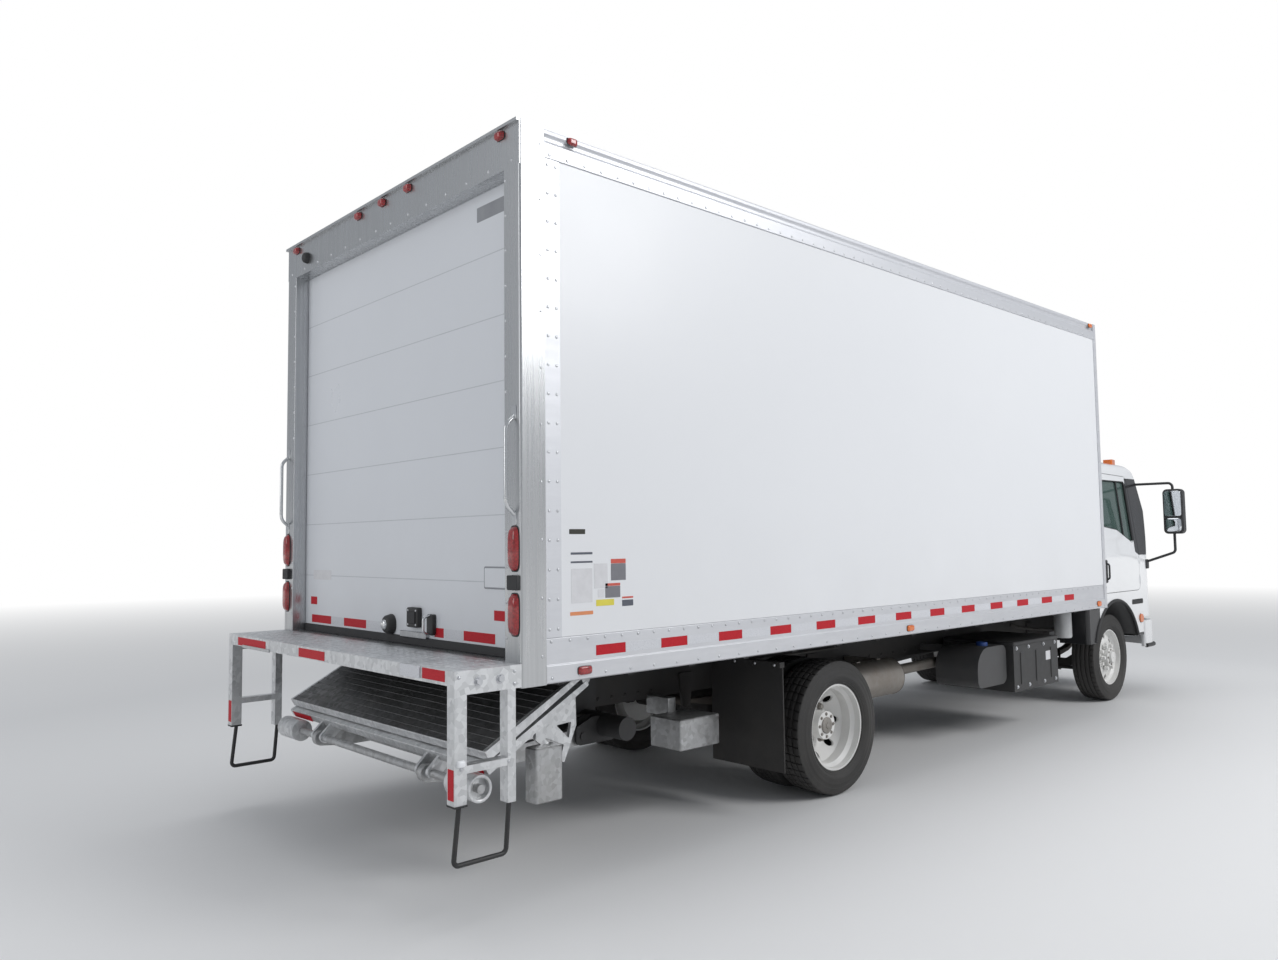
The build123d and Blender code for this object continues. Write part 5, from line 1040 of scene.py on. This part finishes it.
def cab_side_y(z):
    """Half width of the cab's side at a height: straight to the belt, then leaning in."""
    return 1.0 - SIDE_LEAN * np.clip(np.asarray(z, float) - LEAN_FROM_Z, 0, None)


def closed(corners, radius):
    """A closed path round the corners, bent at each, that starts and ends halfway along the last side."""
    corners = np.asarray(corners, float)
    middle = (corners[0] + corners[-1]) / 2
    return bent(np.concatenate([[middle], corners, [middle]]), radius)


WINDOW = [  # X from the front axle, Z
    (-0.250, 1.600), (0.150, 1.560), (0.530, 1.420), (0.520, 2.030), (-0.250, 2.030)]
DIVIDER_Z = (1.495, 1.65, 1.85, 2.028)
HANDLE_X = 2.808
GRIP = [(0.996, 1.262), (1.034, 1.250), (1.034, 1.120), (0.996, 1.108)]  # Y, Z
for side, label in SIDES:
    outward = (0, side, 0)
    ring = closed([(FRONT_X + x, side * (cab_side_y(z) - 0.012), z) for x, z in WINDOW], 0.045)
    divider = [(FRONT_X + 0.330, side * (cab_side_y(z) - 0.016), z) for z in DIVIDER_Z]
    for piece in (
            tube("window_seal_" + label, ring, 0.010, gasket_rubber),
            tube("window_divider_" + label, divider, 0.008, gasket_rubber),
            copies("door_handle_" + label, rounded_plate(0.018, 0.104, 0.012, 0.016),
                   (HANDLE_X, side * 0.999, 1.186), outward, plastic_black),
            tube("door_grip_" + label, bent([(HANDLE_X, side * y, z) for y, z in GRIP], 0.018), 0.008,
                 plastic_black, across=FORWARD),
            copies("door_lock_" + label, dome(0.011, 0.004, sides=20), (HANDLE_X, side * 0.999, 1.040),
                   outward, bright_steel)):
        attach(piece, "cab_door_" + label)


# Wheel arches: a rolled rubber lip round each opening, a thin moulded liner inside it, and ahead
# of it a ribbed slot and the rim of a side lamp.
def arch_line(y, radius):
    """The wheel arch at one Y: points round the front axle from 19.5 to 160.5 degrees."""
    turn = np.radians(np.linspace(19.5, 160.5, ARCH_POINTS))
    return np.column_stack([FRONT_X + radius * np.cos(turn), np.full(ARCH_POINTS, y),
                            TYRE_R + radius * np.sin(turn)])


ARCH_R, ARCH_POINTS, INTAKE_X, CAB_SIDE = 0.520, 48, 3.531, 0.998
for side, label in SIDES:
    outward = (0, side, 0)
    liner = np.stack([arch_line(side * y, ARCH_R * 0.997) for y in (0.62, 0.80, 0.985)], 1)
    for piece in (
            tube("arch_lip_" + label, arch_line(side, ARCH_R), 0.014, gasket_rubber),
            thickened(mesh_piece("arch_liner_" + label, liner, grid_faces(ARCH_POINTS, 3), plastic_black),
                      0.003),
            copies("side_slot_" + label, rounded_plate(0.136, 0.0235, 0.012, 0.004),
                   (INTAKE_X, side * CAB_SIDE, 0.8805), outward, gasket_rubber),
            copies("side_slot_rib_" + label, rounded_plate(0.128, 0.003, 0.002, 0.0065),
                   [(INTAKE_X, side * CAB_SIDE, z) for z in (0.871, 0.8805, 0.890)], outward, plastic_black),
            copies("side_lamp_rim_" + label, lens_dome(0.047, 0.047, 0.010, power=2.0, rings=4),
                   (3.595, side * CAB_SIDE, 0.719), outward, gasket_rubber)):
        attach(piece, "cab")

# Mirrors: a moulded plastic rim round a flat glass and a small bulging one, on an arm whose
# foot is bolted to the pillar.
MIRROR_Y, FOOT_Y, FOOT_HALF_Y = 1.2625, 0.9835, 0.0285
for side, label in SIDES:
    silvered = new_finish("mirror_glass_" + label, (0.72, 0.75, 0.78), 0.03, 1.0)[0]
    for piece in (
            copies("mirror_rim_" + label, rounded_plate(0.084, 0.211, 0.036, 0.010),
                   (3.800, side * MIRROR_Y, 1.735), REARWARD, plastic_black),
            copies("mirror_flat_" + label, rounded_plate(0.074, 0.120, 0.020, 0.0035),
                   (3.791, side * MIRROR_Y, 1.810), REARWARD, silvered),
            copies("mirror_wide_" + label, lens_dome(0.074, 0.066, 0.008, power=5.0),
                   (3.792, side * MIRROR_Y, 1.605), REARWARD, silvered),
            box_form("mirror_bracket_" + label, (3.775, side * FOOT_Y - FOOT_HALF_Y, 1.185),
                     (3.850, side * FOOT_Y + FOOT_HALF_Y, 1.275), 0.016, plastic_black)):
        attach(piece, "cab")


# Headlamps: two bright bowls and their bulbs on each side, and an amber turn lamp at the corner,
# all set on the lamp glass where it curves back.
def on_surface(node, points, lift=0.0):
    """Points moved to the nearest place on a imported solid, then out along its face by lift."""
    found = [nodes[node].closest_point_on_mesh(Vector(point)) for point in np.atleast_2d(points)]
    return np.array([place + normal * lift for _, place, normal, _ in found])


headlamp_glass = new_finish("headlamp_glass", (0.62, 0.64, 0.66), 0.10, 0.35, Coat_Weight=1.0)[0]
coat(headlamp_glass, "headlamps")
BOWL = [(0.012, 0.0), (0.062, 0.006), (0.070, 0.016), (0.066, 0.022), (0.050, 0.012), (0.014, 0.006)]
front_lamps = []
for side, label in SIDES:
    aim = (0.972, side * 0.235, 0)
    for name, y, z, scale in (("beam", 0.735, 0.870, 1.0), ("dip", 0.870, 0.872, 0.92)):
        spot = on_surface("headlamps", (4.05, side * y, z))[0]
        front_lamps += [
            turned(f"headlamp_{name}_{label}", [(radius * scale, height) for radius, height in BOWL],
                   spot - (0.008, 0, 0), aim, bright_steel, sides=40),
            copies(f"headlamp_bulb_{name}_{label}", dome(0.050 * scale, 0.016, sides=32, rings=6),
                   spot + (0.002, 0, 0), aim, headlamp_glass)]
    front_lamps.append(copies("turn_lamp_" + label, lens_dome(0.024, 0.060, 0.010),
                              on_surface("headlamps", (3.99, side * 0.955, 0.880), 0.001),
                              (0.75, side * 0.66, 0), lens_colours["amber"]))
for piece in front_lamps:
    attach(piece, "cab")

# Sun visor: a thin sheet of dark plastic over the windshield, moulded with ends that bow back
# and a rolled edge at each side.
VISOR_ROWS = [  # X and Z at the middle, share that the ends are drawn in by
    (3.812, 2.072, 0.0), (3.850, 2.078, 0.0), (3.905, 2.062, 0.01), (3.945, 2.020, 0.02),
    (3.950, 1.995, 0.03)]
VISOR_POINTS = 33
visor_y = np.linspace(-0.840, 0.840, VISOR_POINTS)
out_y = np.abs(visor_y)
bow = 0.030 * np.clip((out_y - 0.20) / 0.42, 0, 1) + 0.16 * np.clip((out_y - 0.62) / 0.30, 0, 1) ** 2
visor = np.stack([np.column_stack([x - bow, visor_y * (1 - pull), np.full(VISOR_POINTS, z)])
                  for x, z, pull in VISOR_ROWS])
for piece in (thickened(mesh_piece("sun_visor", visor, grid_faces(*visor.shape[:2]), plastic_black), 0.004),
              tube("visor_end_left", visor[:, -1], 0.006, plastic_black, sides=8),
              tube("visor_end_right", visor[:, 0], 0.006, plastic_black, sides=8)):
    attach(piece, "cab")

# Front bumper: a white steel beam with a rolled rubber foot, a fog lamp on a plate at each end, a
# woven intake screen between them, and a blank plate on two screws.
woven = celled("intake_mesh", (0.006, 0.006, 0.006), (0.09, 0.09, 0.092), 0.6, 60.0, 0.6, 0.004,
               feature="DISTANCE_TO_EDGE", invert=True)
FOOT_Z = 0.452
FOOT = [(3.690, 1.004), (3.950, 1.004), (4.088, 0.640), (4.122, 0.200)]  # X, Y from the end to the middle
foot_line = [(x, -y, FOOT_Z) for x, y in FOOT] + [(x, y, FOOT_Z) for x, y in FOOT[::-1]]
bumper_pieces = [
    tube("bumper_lower_edge", bent(foot_line, 0.10), 0.020, plastic_black, across=UPWARD),
    copies("intake_screen", rounded_plate(0.450, 0.048, 0.02, 0.004), (4.070, 0, 0.5425), FORWARD, woven),
    copies("front_plate", rounded_plate(0.155, 0.040, 0.006, 0.003), (4.1305, 0, 0.640), FORWARD,
           vinyls["ink_pale"], smooth=False),
    copies("front_plate_screws", dome(0.006, 0.003), [(4.1335, y, 0.640) for y in (-0.12, 0.12)], FORWARD,
           rivet_metal)]
for side, label in SIDES:
    bumper_pieces += [
        copies("fog_lamp_" + label, lens_dome(0.070, 0.038, 0.020), (4.040, side * 0.700, 0.550), FORWARD,
               headlamp_glass),
        copies("fog_plate_" + label, rounded_plate(0.098, 0.048, 0.02, 0.006), (4.032, side * 0.700, 0.550),
               FORWARD, plastic_black)]
for piece in bumper_pieces:
    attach(piece, "root")

# Cab front and back: a woven screen and black trims in the grille's slots, rubber round the
# windshield and the rear window, and two wipers that lie on the glass.
SLOTS = [(0.807, 0.560), (0.867, 0.570), (0.927, 0.580), (0.987, 0.590)]  # Z, half width
SLOT_HALF_Z, SLOT_X = 0.019, 4.07
cab_pieces = [copies("grille_screen", rounded_plate(0.605, 0.125, 0.02, 0.004), (3.996, 0, 0.898), FORWARD,
                     woven)]
for k, (z, half) in enumerate(SLOTS):
    low, high = z - SLOT_HALF_Z, z + SLOT_HALF_Z
    corners = [(-half, low), (half, low), (half, high), (-half, high)]  # Y, Z
    slot_edge = closed([(SLOT_X, y, z) for y, z in corners], 0.012)
    cab_pieces.append(tube(f"grille_trim_{k}", on_surface("front_panel", slot_edge, 0.001), 0.004,
                           plastic_black, across=FORWARD, sides=8))
WINDSHIELD = [(4.06, -0.872, 1.398), (4.06, 0.872, 1.398), (3.80, 0.802, 2.032), (3.80, -0.802, 2.032)]
REAR_WINDOW_X = 2.389
REAR_WINDOW = [(-0.480, 1.560), (0.480, 1.560), (0.480, 1.960), (-0.480, 1.960)]  # Y, Z
screen = closed(WINDSHIELD, 0.09)
fifths = np.linspace(0, 1, 5, endpoint=False)[:, None]
screen = (screen[:-1, None] + fifths * (screen[1:] - screen[:-1])[:, None]).reshape(-1, 3)
screen = on_surface("cab_shell", np.concatenate([screen, screen[:1]]), 0.001)
rear_ring = closed([(REAR_WINDOW_X, y, z) for y, z in REAR_WINDOW], 0.06)
cab_pieces += [tube("screen_seal", screen, 0.012, gasket_rubber, across=FORWARD),
               tube("rear_glass_seal", rear_ring, 0.010, gasket_rubber, across=FORWARD)]
for k, (start_y, end_y) in enumerate(((0.560, -0.020), (-0.120, -0.700))):
    arm = [(4.05, start_y + t * (end_y - start_y), 1.395 + 0.10 * t) for t in np.linspace(0, 1, 8)]
    blade = [(4.02, end_y + 0.05 + 0.30 * t, 1.500 - 0.030 * t) for t in np.linspace(-0.7, 1, 8)]
    cab_pieces += [
        tube(f"wiper_arm_{k}", on_surface("cab_glass", arm, 0.034), 0.007, plastic_black, across=UPWARD,
             sides=8),
        tube(f"wiper_blade_{k}", on_surface("cab_glass", blade, 0.020), 0.008, gasket_rubber, across=UPWARD,
             sides=8)]
for piece in cab_pieces:
    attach(piece, "cab")

# Seats: foam in grey cloth on a steel base. Each is a cushion and a back with side rolls sewn
# on, and a headrest.
seat_cloth = mottled("seat_cloth", (0.13, 0.135, 0.145), (0.17, 0.175, 0.185), (0.8, 0.95), scale=60.0,
                     bump=0.3)


def pad(name, low, high, finish, power=0.35):
    """A stuffed pad: a ball whose sines and cosines are raised to a small power fill out its box."""
    low, high = np.asarray(low, float), np.asarray(high, float)
    lift, turn = np.linspace(-np.pi / 2, np.pi / 2, 20)[1:-1, None], full_turn(36)
    out, up, ahead, aside = (np.sign(wave) * np.abs(wave) ** power
                             for wave in (np.cos(lift), np.sin(lift), np.cos(turn), np.sin(turn)))
    points = np.stack([out * ahead, out * aside, up + 0 * ahead], -1)
    return mesh_piece(name, (low + high) / 2 + points * (high - low) / 2, ring_faces(*points.shape[:2]),
                      finish)


SEAT_PADS = [  # name, X, half width across, offset across, Z
    ("cushion", (2.610, 3.110), 0.165, 0.0, (1.240, 1.372)),
    ("cushion_roll_in", (2.610, 3.100), 0.045, -0.203, (1.240, 1.392)),
    ("cushion_roll_out", (2.610, 3.100), 0.045, 0.203, (1.240, 1.392)),
    ("back", (2.475, 2.590), 0.165, 0.0, (1.300, 1.780)),
    ("back_roll_in", (2.475, 2.610), 0.045, -0.203, (1.300, 1.750)),
    ("back_roll_out", (2.475, 2.610), 0.045, 0.203, (1.300, 1.750)),
    ("headrest", (2.478, 2.585), 0.125, 0.0, (1.795, 1.948)),
]
for side, label in SIDES:
    for name, (x0, x1), half, offset, (z0, z1) in SEAT_PADS:
        y = side * 0.480 + offset
        piece = pad(f"seat_{name}_{label}", (x0, y - half, z0), (x1, y + half, z1), seat_cloth)
        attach(piece, "cab")
        if name == "cushion":
            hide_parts("cab_interior")

# Dashboard: a grained plastic shell across the cab, with a hood over two dials and three vents
# clipped into its face.
dash_plastic = mottled("dash_plastic", (0.075, 0.078, 0.082), (0.095, 0.097, 0.10), (0.5, 0.65), scale=30.0,
                       bump=0.2, bump_scale=0.0006)
dash_line = bent([(3.672, 0, 1.140), (3.660, 0, 1.300), (3.720, 0, 1.392), (3.870, 0, 1.335),
                  (3.875, 0, 1.140)], 0.03)
DASH_RINGS = [  # Y, share of the section
    (-0.855, 0.97), (-0.850, 1.0), (-0.30, 1.0), (0.30, 1.0), (0.850, 1.0), (0.855, 0.97)]
dash_middle = dash_line.mean(0)
dash = np.stack([dash_middle + (dash_line - dash_middle) * share + (0, y, 0) for y, share in DASH_RINGS])
dash_pieces = [
    mesh_piece("dashboard", dash, ring_faces(len(DASH_RINGS), len(dash_line)), dash_plastic),
    pad("gauge_hood", (3.660, 0.290, 1.360), (3.830, 0.670, 1.470), dash_plastic, power=0.5),
    copies("dash_vents", rounded_plate(0.055, 0.028, 0.008, 0.008),
           [(3.668, y, 1.255) for y in (-0.72, -0.12, 0.12)], REARWARD, plastic_black),
    copies("gauges", lens_dome(0.045, 0.045, 0.010, power=2.0, sides=32),
           [(3.664, y, 1.408) for y in (0.42, 0.54)], REARWARD, headlamp_glass)]
for piece in dash_pieces:
    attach(piece, "cab")

# Steering wheel: a ring moulded over steel on two spokes, and a padded hub, held at the end of
# its column.
STEERING = np.array([3.480, 0.480, 1.407])
STEERING_R = 0.200
HUB_PAD = [(0.055, -0.030), (0.062, -0.010), (0.060, 0.004), (0.045, 0.012), (0.004, 0.014)]
SPOKE = [(0.050, 0.0), (0.120, 0.006), (0.192, 0.0)]  # out from the middle, down along the column
steer_axis = unit(np.array([-0.84, 0.0, 0.54]))
aside = np.array([0.0, 1.0, 0.0])
upward = np.cross(steer_axis, aside)
turn = np.linspace(0, 2 * np.pi, 61)[:, None]
ring = STEERING + STEERING_R * (np.cos(turn) * aside + np.sin(turn) * upward)
steer_pieces = [
    tube("steering_ring", ring, 0.0135, plastic_black, across=steer_axis),
    turned("steering_hub", HUB_PAD, STEERING - steer_axis * 0.010, steer_axis, dash_plastic),
    tube("steering_column", [STEERING - steer_axis * down for down in (0.025, 0.12, 0.24)], 0.032,
         dash_plastic)]
for k, way in enumerate((-1, 1)):
    spoke = [STEERING + aside * way * out - steer_axis * down for out, down in SPOKE]
    steer_pieces.append(tube(f"steering_spoke_{k}", spoke, 0.011, plastic_black, across=steer_axis))
for piece in steer_pieces:
    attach(piece, "cab")
